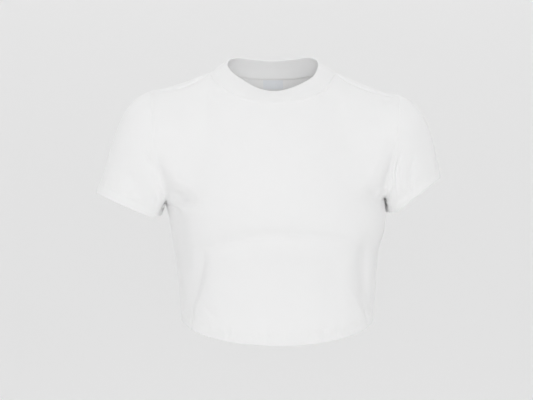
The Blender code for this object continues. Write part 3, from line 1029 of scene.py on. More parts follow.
# The finer creases, uneven in length, depth and spacing
CREASES = (
    # the soft line under the bust
    *read_folds(Face.FRONT, BODY_PIECES, """
        0.35 6.5 2.1 -133,-263 -92,-257 -66,-250 -38,-241 10,-238 53,-241 81,-244 110,-252 146,-263
    """),
    # down the side of the waist and to the hem, on the wearer's right
    *read_folds(Face.FRONT, BODY_PIECES, """
        -0.4 12 8.5 -101,-256 -101.5,-281 -106.7,-303 -113.9,-325 -121.8,-347 -123.5,-366 -123.5,-398
        0 17 10 -140,-212 -135,-262 -131,-310 -133,-350
        0 6 1.8 -98,-342 -91,-354 -76,-364
        0 2.6 2 -127.3,-350 -127.4,-390
        0 2.6 2.4 -120.1,-350 -119.4,-390
    """),
    # down the side of the waist and to the hem, on the wearer's left
    *read_folds(Face.FRONT, BODY_PIECES, """
        -0.2 12 10.5 132,-240 136.5,-270 138.5,-300 142.5,-326 146,-348 148,-376
        0 17 6 151,-235 151,-290 153,-345
        0 6 -1.8 106,-308 117,-331 126,-348 132,-372
        0 12 3 73,-285 86,-315 97,-345
        0 2.6 2.6 137,-348 142,-388
    """),
    # from the armpit, on the wearer's right
    *read_folds(Face.FRONT, (), """
        0.25 12.5 6.8 -170,-143 -163,-158 -156,-173 -150,-183
        0.2 9.5 5.2 -148,-189 -140,-191 -127,-192 -106,-190
    """),
    *read_folds(Face.FRONT, BODY_PIECES, """
        0 5.5 -1.2 -146,-156 -125,-168 -107,-179
        0 4 -2.2 -154,-197 -138,-199 -126,-205
        0 3.2 2.8 -156,-203 -142,-206 -129,-212
    """),
    # from the armpit, on the wearer's left
    *read_folds(Face.FRONT, (), """
        -0.1 14.5 9.5 183,-118 180,-144 174,-164 168,-181
    """),
    *read_folds(Face.FRONT, BODY_PIECES, """
        0 8 -1.2 153,-118 147,-143 133,-165
        -0.3 6 1.8 158,-181 149,-184 140,-184
    """),
    # down the wearer's left sleeve
    *read_folds(Face.FRONT, LEFT_SLEEVE, """
        0 4.2 -1.6 181,-132 175,-156 172,-178
        0 3.2 3.4 185,-128 182.5,-160 180,-196
        0 4.2 -1.3 194,-138 193,-172
        0 3.4 3 203.5,-128 201,-160 198,-188
        0 3 2.4 177,-172 172,-202
    """),
    # down the wearer's right sleeve
    *read_folds(Face.FRONT, RIGHT_SLEEVE, """
        0 11 2.8 -203,-150 -198,-180
        0 3.8 2.6 -169,-182 -170,-214
        0 9 1.6 -178,-92 -182,-128 -180,-158
    """),
    # in front of the shoulders
    *read_folds(Face.FRONT, BODY_PIECES, """
        0 3.2 0.9 -82,-43 -68,-40 -60,-41
        0 7 1.2 -114,-52 -103,-40
        0 8 1.4 74,-38 87,-45 103,-53
        0 5 2 158,-50 170,-56
    """),
    # above the hem, where its stitches draw the cloth in
    *read_folds(Face.FRONT, BODY_PIECES, """
        0 3.6 -1 -67,-372 -68,-394
        0 3 0.9 -62,-374 -62,-393
        0 3.2 -1 -57,-372 -58,-394
        0 4.5 -0.9 -27,-374 -28,-396
        0 4.5 1.3 -7,-370 -8,-398
        0 4 1.4 55,-370 56,-396
        0 3.6 -1.1 67,-372 68,-394
        0 3 1.1 74,-371 75,-394
        0 3.2 -1.1 83,-369 84,-393
        0 2.8 1.3 92,-368 93,-391
        0 3.2 -1.2 100,-366 101,-390
        0 5 1 20,-368 19,-396
        0 4 0.9 -92,-366 -94,-388
    """),
    # on the back, in to the waist, up from the armpits and between the shoulder blades
    *read_folds(Face.BACK, BODY_PIECES, """
        0.35 6 3.4 -124,-222 -94,-252 -70,-282 -54,-318
        0.3 6.2 2.2 -82,-292 -52,-320 -36,-352
        0 8 -1.4 -104,-268 -82,-300 -68,-334
        -0.35 5.6 3.6 132,-214 100,-246 76,-276 62,-310
        -0.3 6.6 2 98,-290 64,-318 44,-354
        0 8.5 -1.3 116,-262 92,-298 82,-340
        0 10 1.6 -38,-262 4,-270 52,-260
        0.35 5 3.2 -158,-194 -138,-182 -120,-166 -108,-146
        0.2 5.5 1.8 -156,-174 -130,-154 -112,-126
        -0.35 4.8 3 165,-190 146,-180 128,-162 116,-140
        -0.2 6 1.9 163,-168 138,-150 124,-122
        0 11 1.4 -50,-86 -6,-98 54,-84
        0 2.4 1.2 -124,-354 -126,-378
        0 2.6 1.3 138,-354 141,-378
        0 3.6 -0.7 -44,-366 -45,-384
        0 4 0.8 -34,-366 -34,-384
        0 4.2 0.8 30,-366 31,-385
        0 3.4 -0.7 61,-364 62,-383
    """),
    # on the backs of the sleeves
    *read_folds(Face.BACK, RIGHT_SLEEVE, """
        0.2 3.6 2 -168,-146 -174,-172 -180,-200
        0 5 1.6 -186,-130 -196,-158 -204,-184
        0 4.6 -1.2 -178,-140 -186,-180
    """),
    *read_folds(Face.BACK, LEFT_SLEEVE, """
        -0.2 3.6 2 178,-140 182,-168 186,-194
        0 5 1.5 196,-122 203,-150 208,-176
    """),
)


@dataclass(frozen=True)
class Folding:
    """How folds and creases press the cloth."""

    side_fade: float = 0.020
    seam_fade: float = 0.005
    end_share: float = 0.45
    crease_end_share: float = 0.10
    shoulder_share: float = 0.30
    shoulder_reach: float = 2.0
    furthest: float = 6.0
    path_steps: int = 5
    slack: float = 0.00022
    slackness: Uneven = Uneven(wave=0.060, seed=5)

    def smooth_path(self, path: Sequence[tuple[float, float]]) -> Array:
        """A smooth curve through a path's points, as short straight steps.

        Args:
            path: the points.

        Returns:
            The curve's points.
        """
        corners = np.array(path)
        places = arc_lengths(corners[None], 1)[0]
        at = np.linspace(0, places[-1], (len(corners) - 1) * self.path_steps + 1)
        return np.stack([smooth_through(places, values, at) for values in corners.T], axis=-1)

    def near_path(self, points: Array, path: Array) -> tuple[Array, Array]:
        """How far each (x, z) point lies from a path, and how far along.

        Args:
            points: the points.
            path: the path's points.

        Returns:
            The distances, above 0 on the left of the path's direction, and shares of its length.
        """
        nearest, along = np.full(len(points), np.inf), np.zeros(len(points))
        places = arc_lengths(path[None], 1)[0] / arc_lengths(path[None], 1)[0, -1]
        for start, step, passed, share in zip(path, np.diff(path, axis=0), places, np.diff(places)):
            t = np.clip((points - start) @ step / (step @ step), 0, 1)
            off = points - start - t[:, None] * step
            gap = np.linalg.norm(off, axis=1)
            closer = gap < np.abs(nearest)
            side = np.where(step[0] * off[:, 1] < step[1] * off[:, 0], -1, 1)
            nearest[closer] = (gap * side)[closer]
            along[closer] = passed + t[closer] * share
        return nearest, along

    def height(self, points: Array, piece: str, to_seam: Array) -> Array:
        """How far the folds and creases lift each point of a piece off its smooth form.

        Args:
            points: the piece's outer points.
            piece: its name.
            to_seam: how far each lies from a seam with a piece that a crease may not press.

        Returns:
            Heights off the cloth.
        """
        flat = points.reshape(-1, 3)
        height = self.slack * self.slackness.at(flat)
        inside = smoothstep(to_seam.ravel() / self.seam_fade)
        for fold in (*LARGE_FOLDS, *CREASES):
            if fold.pieces and piece not in fold.pieces:
                continue
            path = self.smooth_path(fold.path)
            reach = self.furthest * fold.half_width
            low, high = path.min(axis=0) - reach, path.max(axis=0) + reach
            seen = flat[:, [0, 2]]
            near = np.all((seen > low) & (seen < high), axis=1)
            gap, along = self.near_path(seen[near], path)
            on_face = smoothstep(flat[near, 1] * fold.face.value / self.side_fade)
            end = self.crease_end_share if fold.pieces else self.end_share
            swell = end + (1 - end) * np.sin(math.pi * along)
            across = gap / (fold.half_width * (1 + fold.lean * np.sign(gap)))
            trough = np.exp(-(across**2))
            if fold.pieces:
                trough -= self.shoulder_share * np.exp(-((across / self.shoulder_reach) ** 2))
                trough *= inside[near]
            height[near] -= fold.depth * swell * on_face * trough
        return height.reshape(points.shape[:-1])


@dataclass
class Cloth:
    """One piece of cloth: its outer grid, seen from outside, and what was worked out from it."""

    name: str
    points: Array
    closed: bool
    wall: float
    slot: str
    rounded: tuple[int, int] = (0, 0)
    normals: Array = field(default_factory=lambda: np.zeros(0))
    inner: Array = field(default_factory=lambda: np.zeros(0))

    def own_normals(self) -> Array:
        """Outward normals from the cells round each point.

        Returns:
            A unit vector for each point.
        """
        ring = np.concatenate([self.points, self.points[:, :1]], axis=1) if self.closed else self.points
        rising, falling = ring[1:, 1:] - ring[:-1, :-1], ring[1:, :-1] - ring[:-1, 1:]
        cells = np.cross(rising, falling)
        normals = np.zeros_like(ring)
        for corner in (normals[1:, 1:], normals[:-1, :-1], normals[1:, :-1], normals[:-1, 1:]):
            corner += cells
        if self.closed:
            normals[:, 0] += normals[:, -1]
            normals = normals[:, :-1]
        return unit(normals)

    def border(self) -> list[tuple[int, int]]:
        """The (row, column) of each point on the grid's border.

        Returns:
            The places, in order.
        """
        rows, columns = self.points.shape[:2]
        border = {(r, c) for r in (0, rows - 1) for c in range(columns)}
        if not self.closed:
            border |= {(r, c) for r in range(rows) for c in (0, columns - 1)}
        return sorted(border)

    def walls(self) -> Array:
        """The wall at each point: the cloth, and where it is turned up, the cloth twice.

        Returns:
            The walls.
        """
        walls = np.full(self.points.shape[:2], self.wall)
        if self.name in BODY_PIECES:
            walls[arc_lengths(self.points, 0) <= TURN_UP.depth + TURN_UP.step / 2] = 2 * self.wall
        elif self.name != "neckband":
            lengths = arc_lengths(self.points, 0)
            walls[lengths[-1:] - lengths <= TURN_UP.depth + TURN_UP.step / 2] = 2 * self.wall
        return walls

    def pattern(self) -> tuple[Array, Array]:
        """Places on the flat cloth, in metres: across the knit and along it. A closed grid has one more.

        Returns:
            The places across, and the places along.
        """
        ring = np.concatenate([self.points, self.points[:, :1]], axis=1) if self.closed else self.points
        across = arc_lengths(ring, 1)
        middle = across[:, across.shape[1] // 2]
        return across - middle[:, None], arc_lengths(ring, 0)


def match_seams(pieces: Sequence[Cloth]) -> None:
    """Gives each piece normals that it shares with the pieces it is sewn to.

    Where a third piece joins the front and back, the two count as one cloth.

    Args:
        pieces: all the pieces of the garment.
    """
    own = {piece.name: piece.own_normals() for piece in pieces}
    meeting: dict[tuple[int, ...], list[tuple[str, tuple[int, int]]]] = defaultdict(list)
    for piece in pieces:
        for place in piece.border():
            key = tuple(np.round(piece.points[place] / SEAM_MATCH).astype(int))
            meeting[key].append((piece.name, place))
    shared = {name: normals.copy() for name, normals in own.items()}
    for places in meeting.values():
        body = [own[name][place] for name, place in places if name in BODY_PIECES]
        joined = [own[name][place] for name, place in places if name not in BODY_PIECES]
        if body:
            joined.append(unit(sum(body)))
        for name, place in places:
            shared[name][place] = unit(sum(joined))
    for piece in pieces:
        turn = np.maximum(np.sum(own[piece.name] * shared[piece.name], axis=-1), STEEPEST_MITRE)
        piece.normals = shared[piece.name]
        piece.inner = piece.points - piece.normals * (piece.walls() / turn)[..., None]


def rim(outer: Array, inner: Array, beyond: Array, steps: int) -> Array:
    """Rows of a rounded edge from the outer to the inner border row.

    Args:
        outer: the outer border row.
        inner: the inner one.
        beyond: unit directions off the cloth.
        steps: how many rows.

    Returns:
        The rows, by step, place and axis.
    """
    middle, half = (outer + inner) / 2, (outer - inner) / 2
    reach = np.linalg.norm(half, axis=-1, keepdims=True)
    turns = np.linspace(0, math.pi, steps + 2)[1:-1]
    rows = [middle + half * math.cos(turn) + beyond * reach * math.sin(turn) for turn in turns]
    return np.array(rows).reshape(-1, *outer.shape)


def add_object(name: str, data: bpy.types.ID) -> Item:
    """Puts an object with this data into the scene.

    Args:
        name: its name.
        data: its mesh, light or camera.

    Returns:
        The object.
    """
    item = bpy.data.objects.new(name, data)
    bpy.context.scene.collection.objects.link(item)
    return item


def hand_over(item: Item, node: str = "") -> Item:
    """Rides a finished piece on the body and reports it.

    Args:
        item: the piece.
        node: the solid that it stands for, if any.

    Returns:
        The same piece.
    """
    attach(item, BODY)
    if node:
        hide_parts(node)
    LOG.info("%s: %d faces", item.name, len(item.data.polygons))
    return item


def make_wall(
    name: str,
    outer: Array,
    inner: Array,
    closed: bool,
    rounded: tuple[int, int],
    pattern: tuple[Array, Array],
    material: Material,
) -> Item:
    """Builds a closed wall of cloth between an outer and an inner grid.

    Its rows run up the outside, over the last edge, down the inside and round the first edge.

    Args:
        name: the object's name.
        outer: the outer grid.
        inner: the inner grid.
        closed: whether the columns run right round.
        rounded: how many rows round off the first and the last edge.
        pattern: places on the flat cloth, across and along.
        material: the finish.

    Returns:
        The object.
    """
    rows, columns = outer.shape[:2]
    last = rim(outer[-1], inner[-1], unit(outer[-1] - outer[-2]), rounded[1])
    first = rim(outer[0], inner[0], unit(outer[0] - outer[1]), rounded[0])[::-1]
    loop = np.concatenate([outer, last, inner[::-1], first])
    source = np.concatenate(
        [np.arange(rows), np.full(len(last), rows - 1), np.arange(rows)[::-1], np.zeros(len(first), int)]
    )
    count = len(loop)
    wrap = columns if closed else columns - 1
    r, c = np.meshgrid(np.arange(count), np.arange(wrap), indexing="ij")
    corner_rows = np.stack([r, r, (r + 1) % count, (r + 1) % count], axis=-1).reshape(-1, 4)
    corner_columns = np.stack([c, c + 1, c + 1, c], axis=-1).reshape(-1, 4)
    faces = (corner_rows * columns + corner_columns % columns).tolist()
    across, along = (values[source] for values in pattern)
    places = [np.stack([across[corner_rows, corner_columns], along[corner_rows, corner_columns]], -1)]
    if not closed:
        back = [rows + len(last) + rows - 1 - row for row in range(rows)]
        caps = [[row, row + 1, back[row + 1], back[row]] for row in range(rows - 1)]
        caps += [list(range(rows - 1, rows + len(last) + 1))] if len(last) else []
        caps += [[*range(back[0], count), 0]] if len(first) else []
        for column, turned in ((0, False), (columns - 1, True)):
            for cap in caps:
                ring = cap[::-1] if turned else cap
                faces.append([row * columns + column for row in ring])
                places.append(np.stack([across[ring, column], along[ring, column]], -1))
    mesh = bpy.data.meshes.new(name)
    mesh.from_pydata(loop.reshape(-1, 3).tolist(), [], faces)
    layer = mesh.uv_layers.new(name=UV_NAME)
    corners = np.concatenate([part.reshape(-1, 2) for part in places]).astype(np.float32)
    layer.uv.foreach_set("vector", corners.ravel())
    mesh.materials.append(material)
    mesh.shade_smooth()
    mesh.set_sharp_from_angle(angle=SHARP_ANGLE)
    mesh.validate()
    return add_object(name, mesh)


@dataclass(frozen=True)
class SheetCut:
    """The flat cut of what shows of one piece, and how it is held."""

    flat: tuple[float, float]
    area: float
    held: str
    rests_on: tuple[str, ...]


@dataclass
class Garment:
    """The top's cloth: front, back, two sleeves and the neckband, sewn together."""

    body: Body = Body()
    folding: Folding = Folding()
    jersey_wall: float = 0.0010
    rib_wall: float = 0.0020
    hem_rounding: tuple[int, int] = (4, 0)
    cuff_rounding: tuple[int, int] = (0, 4)
    band_rounding: tuple[int, int] = (0, 5)
    band_bulge: float = 0.0015
    band_rows: int = 16
    sleeve_rows: int = 56
    sleeve_root_steps: tuple[float, ...] = (0.0, 0.0008, 0.0016, 0.0026, 0.0038, 0.0052, 0.0068, 0.0086)
    sleeve_samples: int = 160
    neck_blend: float = 0.05
    cuts: dict[str, SheetCut] = field(
        default_factory=lambda: {
            "front": SheetCut((0.46, 0.40), 0.142, "draped", ()),
            "back": SheetCut((0.42, 0.41), 0.137, "draped", ()),
            "sleeve_right": SheetCut((0.38, 0.18), 0.036, "hung", ("front", "back")),
            "sleeve_left": SheetCut((0.38, 0.17), 0.030, "hung", ("front", "back")),
            "neckband": SheetCut((0.46, 0.026), 0.0115, "stretched", ("front", "back")),
        }
    )
    pieces: dict[str, Cloth] = field(default_factory=dict)

    def lay_out(self) -> None:
        """Makes each piece's grid, works the folds and seams into it, and gives it its wall."""
        for face in Face:
            name = face.name.lower()
            grid, rounded = self.body.fine(face), self.hem_rounding
            self.pieces[name] = Cloth(name, grid, False, self.jersey_wall, "jersey", rounded)
        for sleeve in SLEEVES:
            grid, rounded = self.sleeve_grid(sleeve), self.cuff_rounding
            self.pieces[sleeve.name] = Cloth(sleeve.name, grid, True, self.jersey_wall, "jersey", rounded)
        grid, rounded = self.band_grid(), self.band_rounding
        self.pieces["neckband"] = Cloth("neckband", grid, True, self.rib_wall, "rib", rounded)
        pieces = list(self.pieces.values())
        match_seams(pieces)
        lifts = {piece.name: self.lift(piece) for piece in pieces}
        for piece in pieces:
            piece.points = piece.points + piece.normals * lifts[piece.name][..., None]
        match_seams(pieces)

    def sleeve_grid(self, sleeve: Sleeve) -> Array:
        """A sleeve's fine grid. Its turned-up cuff has the same depth all round.

        Args:
            sleeve: the sleeve.

        Returns:
            The grid, from the armhole to the cuff.
        """
        half = np.concatenate([[0.0], self.body.fine_rise()])
        lines = sleeve.lines(half, np.linspace(0, 1, self.sleeve_samples + 1))
        lengths = arc_lengths(lines, 1)
        whole = lengths[:, -1:]
        root = np.array(self.sleeve_root_steps)
        middle = np.linspace(0, 1, self.sleeve_rows + 1)[1:]
        before_cuff = whole - TURN_UP.depth - TURN_UP.step
        cuff = np.linspace(TURN_UP.depth, 0, self.body.fine_hem_rows)
        at = np.concatenate(
            [
                np.repeat(root[None], len(lines), axis=0),
                root[-1] + middle[None] * (before_cuff - root[-1]),
                whole - cuff[None],
            ],
            axis=1,
        )
        grid = np.swapaxes(read_off(lines, lengths, at), 0, 1)
        return grid[:, ::-1] if sleeve.side > 0 else grid

    def band_grid(self) -> Array:
        """The neckband's fine grid, from the neckline seam up to the folded edge.

        Returns:
            The grid.
        """
        cells = 2 * self.body.neck_columns * self.body.finer_neck
        angles = np.linspace(-180, 180, cells + 1)[:-1]
        low, high = NECKLINE.at(angles), BAND_EDGE.at(angles)
        outwards = unit(low * [1, 1, 0] - [NECKLINE.centre, 0, 0])
        rows = []
        for t in np.linspace(0, 1, self.band_rows + 1):
            rows.append(low + (high - low) * t + outwards * self.band_bulge * math.sin(math.pi * t))
        return np.array(rows)

    def lift(self, piece: Cloth) -> Array:
        """How far each point of a piece is lifted off its smooth form.

        Args:
            piece: the piece, still smooth.

        Returns:
            The heights.
        """
        up = arc_lengths(piece.points, 0)
        first, last = piece.points[:1], piece.points[-1:]
        if piece.name == "neckband":
            height = self.folding.height(piece.points, piece.name, up)
            return height + NECK_SEAM.relief(up, first, ridged=False)
        if piece.name not in BODY_PIECES:
            height = self.folding.height(piece.points, piece.name, up)
            height += ARMHOLE_SEAM.relief(up, first, ridged=True)
            return height + TURN_UP.relief(up[-1:] - up, last)
        down = up[-1:] - up
        sideways = arc_lengths(piece.points, 1)
        above = np.arange(len(up)) >= len(self.body.fine_heights())
        to_armhole = np.minimum(sideways, sideways[:, -1:] - sideways)
        below = len(self.body.fine_heights()) - 1
        under = np.hypot(to_armhole, up[below] - up)
        to_armhole = np.where(above[:, None], to_armhole, under)
        height = self.folding.height(piece.points, piece.name, np.minimum(to_armhole, down))
        height += TURN_UP.relief(up, first)
        across = np.abs(self.body.fine_across())
        shoulder = smoothstep((across - self.body.neck_share) / self.neck_blend)
        neck = NECK_SEAM.relief(down, last, ridged=True)
        top = SHOULDER_SEAM.relief(down, last, ridged=piece.name == "back")
        height += neck * (1 - shoulder) + top * shoulder
        for reach, edge in ((sideways, 0), (sideways[:, -1:] - sideways, -1)):
            nearest = piece.points[:, edge][:, None]
            side = SIDE_SEAM.relief(reach, nearest, ridged=piece.name == "back")
            arm = ARMHOLE_SEAM.relief(reach, nearest, ridged=False)
            height += np.where(above[:, None], arm, side)
        return height

    def build(self, finishes: dict[str, Material]) -> dict[str, Item]:
        """Builds each piece's wall, rides it on the body and hides the solid that it stands for.

        Args:
            finishes: the materials, by slot.

        Returns:
            The objects, by node name.
        """
        made = {}
        for piece in self.pieces.values():
            walls = (piece.points, piece.inner, piece.closed, piece.rounded, piece.pattern())
            item = make_wall(f"{piece.name}_cloth", *walls, finishes[piece.slot])
            made[piece.name] = hand_over(item, piece.name)
        return made


@dataclass(frozen=True)
class Allowance:
    """The trimmed edges of a seam, pressed to one side inside the garment."""

    width: float
    thickness: float = 0.0013
    clearance: float = 0.00008
    start: float = 0.0004
    edge_share: float = 0.35
    arch_start: float = 0.08
    arch_span: float = 0.9
    rows: int = 8

    def grids(self, inner: Array, normals: Array) -> tuple[Array, Array, Array]:
        """The strip's two faces and its face's directions.

        Args:
            inner: the cloth's inner points, by line from the seam inwards.
            normals: the cloth's outward normals there.

        Returns:
            The grid on the cloth, the grid away from it, and the directions that the latter faces.
        """
        lengths = arc_lengths(inner, 1)
        share = np.linspace(0, 1, self.rows + 1)
        at = np.repeat((self.start + share * self.width)[None], len(inner), axis=0)
        base = np.swapaxes(read_off(inner, lengths, at), 0, 1)
        inwards = -unit(np.swapaxes(read_off(normals, lengths, at), 0, 1))
        arch = np.sin(math.pi * np.clip(share * self.arch_span + self.arch_start, 0, 1)) ** 0.5
        height = self.thickness * (self.edge_share + (1 - self.edge_share) * arch)
        low = base + inwards * self.clearance
        return low, low + inwards * height[:, None, None], inwards


@dataclass(frozen=True)
class StitchPath:
    """A line of sewing along the cloth: its points, the directions that it faces, and if it closes."""

    points: Array
    outwards: Array
    closed: bool


# The sizes that the tree of a stitch takes
STITCH_SIZES = ("Pitch", "Length", "Width", "Radius", "Bow", "Turn")


class StitchKind(Enum):
    """How a stitch lies: one bar along its row, or two bars crossing between two edges.

    The value is the number of steps in a bar.
    """

    BAR = 4
    CROSS = 3


class Nodes:
    """A node tree under construction."""

    def __init__(self, tree: bpy.types.NodeTree) -> None:
        """Starts on an empty tree."""
        self.tree = tree
        tree.nodes.clear()

    def add(self, kind: str, settings: dict[str, object] | None = None, **inputs: object) -> bpy.types.Node:
        """Adds a node.

        Args:
            kind: the node's type.
            settings: its properties.
            **inputs: values or sockets for its inputs, by name, with _ for a space, or i0, i1 by number.

        Returns:
            The node.
        """
        node = self.tree.nodes.new(kind)
        for name, value in (settings or {}).items():
            setattr(node, name, value)
        for name, value in inputs.items():
            numbered = name[0] == "i" and name[1:].isdigit()
            socket = node.inputs[int(name[1:])] if numbered else node.inputs[name.replace("_", " ")]
            if isinstance(value, Socket):
                self.tree.links.new(value, socket)
            else:
                socket.default_value = value
        return node

    def math(self, operation: str, *values: object) -> Socket:
        """The result of a sum on numbers or sockets."""
        inputs = {f"i{number}": value for number, value in enumerate(values)}
        return self.add("ShaderNodeMath", {"operation": operation}, **inputs).outputs[0]

    def times(self, one: object, other: object) -> Socket:
        """The product of two numbers or sockets."""
        return self.math("MULTIPLY", one, other)

    def plus(self, one: object, other: object) -> Socket:
        """The sum of two numbers or sockets."""
        return self.math("ADD", one, other)

    def xyz(self, **parts: object) -> Socket:
        """A vector of these parts."""
        return self.add("ShaderNodeCombineXYZ", **parts).outputs[0]

    def on_cloth(self) -> tuple[Socket, Socket]:
        """Places on the flat cloth, across and along, in metres."""
        place = self.add("ShaderNodeUVMap", {"uv_map": UV_NAME})
        return tuple(self.add("ShaderNodeSeparateXYZ", i0=place.outputs[0]).outputs[:2])

    def noise(self, **settings: float) -> Socket:
        """A noise through the object's own space."""
        place = self.add("ShaderNodeTexCoord").outputs["Object"]
        return self.add("ShaderNodeTexNoise", Vector=place, **settings).outputs["Fac"]

    def between(self, share: Socket, low: Sequence[float], high: Sequence[float]) -> Socket:
        """A colour between two others, at a share of the way."""
        ends = {"i6": (*low, 1.0), "i7": (*high, 1.0)}
        return self.add("ShaderNodeMix", {"data_type": "RGBA"}, Factor=share, **ends).outputs[2]

    def surface(self, colour: Socket, height: Socket | None, strength: float, **settings: float) -> None:
        """Ends a material in a surface.

        Args:
            colour: its colour.
            height: its relief, in metres, if it has one.
            strength: how strongly the relief shows.
            **settings: the shader's other values, by name, with _ for a space.
        """
        shader = self.add("ShaderNodeBsdfPrincipled", Base_Color=colour, **settings)
        if height is not None:
            bump = self.add("ShaderNodeBump", Strength=strength, Distance=1.0, Height=height)
            self.tree.links.new(bump.outputs[0], shader.inputs["Normal"])
        self.add("ShaderNodeOutputMaterial", Surface=shader.outputs[0])


def new_material(name: str) -> tuple[Material, Nodes]:
    """Makes an empty material.

    Args:
        name: its name.

    Returns:
        The material, and its tree to be filled.
    """
    material = bpy.data.materials.new(name)
    material.use_nodes = True
    return material, Nodes(material.node_tree)


@dataclass(frozen=True)
class Stitching:
    """Stitches set along paths by Geometry Nodes."""

    name: str
    kind: StitchKind
    pitch: float
    length: float
    width: float
    radius: float
    bow: float
    turn: float = 0.06
    seed: int = 7
    thread_sides: int = 5

    def tree(self) -> bpy.types.NodeTree:
        """The tree that sets a stitch at each pitch along its paths.

        Returns:
            The tree.
        """
        group = bpy.data.node_groups.new(f"{self.name}_tree", "GeometryNodeTree")
        face = group.interface
        face.new_socket("Paths", in_out="INPUT", socket_type="NodeSocketGeometry")
        for name in STITCH_SIZES:
            face.new_socket(name, in_out="INPUT", socket_type="NodeSocketFloat")
        face.new_socket("Seed", in_out="INPUT", socket_type="NodeSocketInt")
        face.new_socket("Thread", in_out="INPUT", socket_type="NodeSocketMaterial")
        face.new_socket("Stitches", in_out="OUTPUT", socket_type="NodeSocketGeometry")
        nodes = Nodes(group)
        given = nodes.add("NodeGroupInput").outputs
        curve = nodes.add("GeometryNodeMeshToCurve", Mesh=given["Paths"])
        spaced = nodes.add(
            "GeometryNodeResampleCurve", {"mode": "LENGTH"}, Curve=curve.outputs[0], Length=given["Pitch"]
        )
        outward = nodes.add("GeometryNodeInputNamedAttribute", {"data_type": "FLOAT_VECTOR"}, Name="outward")
        tangent = nodes.add("GeometryNodeInputTangent")
        facing = nodes.add(
            "FunctionNodeAxesToRotation",
            {"primary_axis": "Z", "secondary_axis": "X"},
            i0=outward.outputs[0],
            i1=tangent.outputs[0],
        )
        least = nodes.times(given["Turn"], -1.0)
        chance = nodes.add(
            "FunctionNodeRandomValue", {"data_type": "FLOAT"}, i2=least, i3=given["Turn"], Seed=given["Seed"]
        )
        turned = nodes.xyz(Z=chance.outputs[1])
        rotation = nodes.add(
            "FunctionNodeRotateRotation",
            {"rotation_space": "LOCAL"},
            i0=facing.outputs[0],
            i1=nodes.add("FunctionNodeEulerToRotation", i0=turned).outputs[0],
        )
        sizes = {"Resolution": self.thread_sides, "Radius": given["Radius"]}
        round_thread = nodes.add("GeometryNodeCurvePrimitiveCircle", {"mode": "RADIUS"}, **sizes)
        solid = nodes.add("GeometryNodeCurveToMesh", Curve=self.stitch(nodes, given), Fill_Caps=True)
        group.links.new(round_thread.outputs[0], solid.inputs["Profile Curve"])
        placed = nodes.add(
            "GeometryNodeInstanceOnPoints",
            Points=spaced.outputs[0],
            Instance=solid.outputs[0],
            Rotation=rotation.outputs[0],
        )
        real = nodes.add("GeometryNodeRealizeInstances", Geometry=placed.outputs[0])
        smooth = nodes.add("GeometryNodeSetShadeSmooth", Geometry=real.outputs[0])
        dressed = nodes.add("GeometryNodeSetMaterial", Geometry=smooth.outputs[0], Material=given["Thread"])
        nodes.add("NodeGroupOutput", Stitches=dressed.outputs[0])
        return group

    def bow_over(
        self, nodes: Nodes, given: bpy.types.NodeOutputs, x: Socket, y: Socket | float, z: Socket | float
    ) -> Socket:
        """One bowed bar from (-x, -y, z), over the middle, to (x, y, z).

        Args:
            nodes: the tree.
            given: its named inputs.
            x: how far it reaches along its row.
            y: how far it reaches across its row.
            z: how high its ends are.

        Returns:
            The curve.
        """
        start = nodes.xyz(X=nodes.times(x, -1.0), Y=nodes.times(y, -1.0), Z=z)
        ends = {"Start": start, "Middle": nodes.xyz(Z=given["Bow"]), "End": nodes.xyz(X=x, Y=y, Z=z)}
        steps = self.kind.value
        return nodes.add("GeometryNodeCurveQuadraticBezier", Resolution=steps, **ends).outputs[0]

    def stitch(self, nodes: Nodes, given: bpy.types.NodeOutputs) -> Socket:
        """One stitch: a bar that dips into the cloth at both ends, or two that cross.

        Args:
            nodes: the tree.
            given: its named inputs.

        Returns:
            The curves.
        """
        length = nodes.times(given["Length"], 0.5)
        if self.kind is StitchKind.BAR:
            return self.bow_over(nodes, given, length, 0.0, nodes.times(given["Radius"], -1.0))
        width = nodes.times(given["Width"], 0.5)
        joined = nodes.add("GeometryNodeJoinGeometry")
        for way in (1.0, -1.0):
            bar = self.bow_over(nodes, given, length, nodes.times(width, way), 0.0)
            nodes.tree.links.new(bar, joined.inputs[0])
        return joined.outputs[0]

    def build(self, paths: Sequence[StitchPath], thread: Material) -> Item:
        """Sews along the paths.

        Args:
            paths: the lines of sewing.
            thread: the thread's material.

        Returns:
            One mesh of all the stitches, riding on the body.
        """
        vertices, edges, outwards = [], [], []
        for path in paths:
            start, count = len(vertices), len(path.points)
            vertices += path.points.tolist()
            outwards += path.outwards.tolist()
            edges += [(start + i, start + i + 1) for i in range(count - 1)]
            edges += [(start + count - 1, start)] if path.closed else []
        mesh = bpy.data.meshes.new(f"{self.name}_paths")
        mesh.from_pydata(vertices, edges, [])
        attribute = mesh.attributes.new("outward", "FLOAT_VECTOR", "POINT")
        attribute.data.foreach_set("vector", np.array(outwards, np.float32).ravel())
        item = add_object(self.name, mesh)
        group = self.tree()
        modifier = item.modifiers.new("stitches", "NODES")
        modifier.node_group = group
        values = {name: getattr(self, name.lower()) for name in (*STITCH_SIZES, "Seed")}
        values["Thread"] = thread
        for socket in group.interface.items_tree:
            if socket.in_out == "INPUT" and socket.name in values:
                modifier[socket.identifier] = values[socket.name]
        bpy.context.view_layer.update()
        graph = bpy.context.evaluated_depsgraph_get()
        sewn = bpy.data.meshes.new_from_object(item.evaluated_get(graph))
        item.modifiers.remove(modifier)
        item.data = sewn
        item.data.name = self.name
        bpy.data.meshes.remove(mesh)
        return hand_over(item)


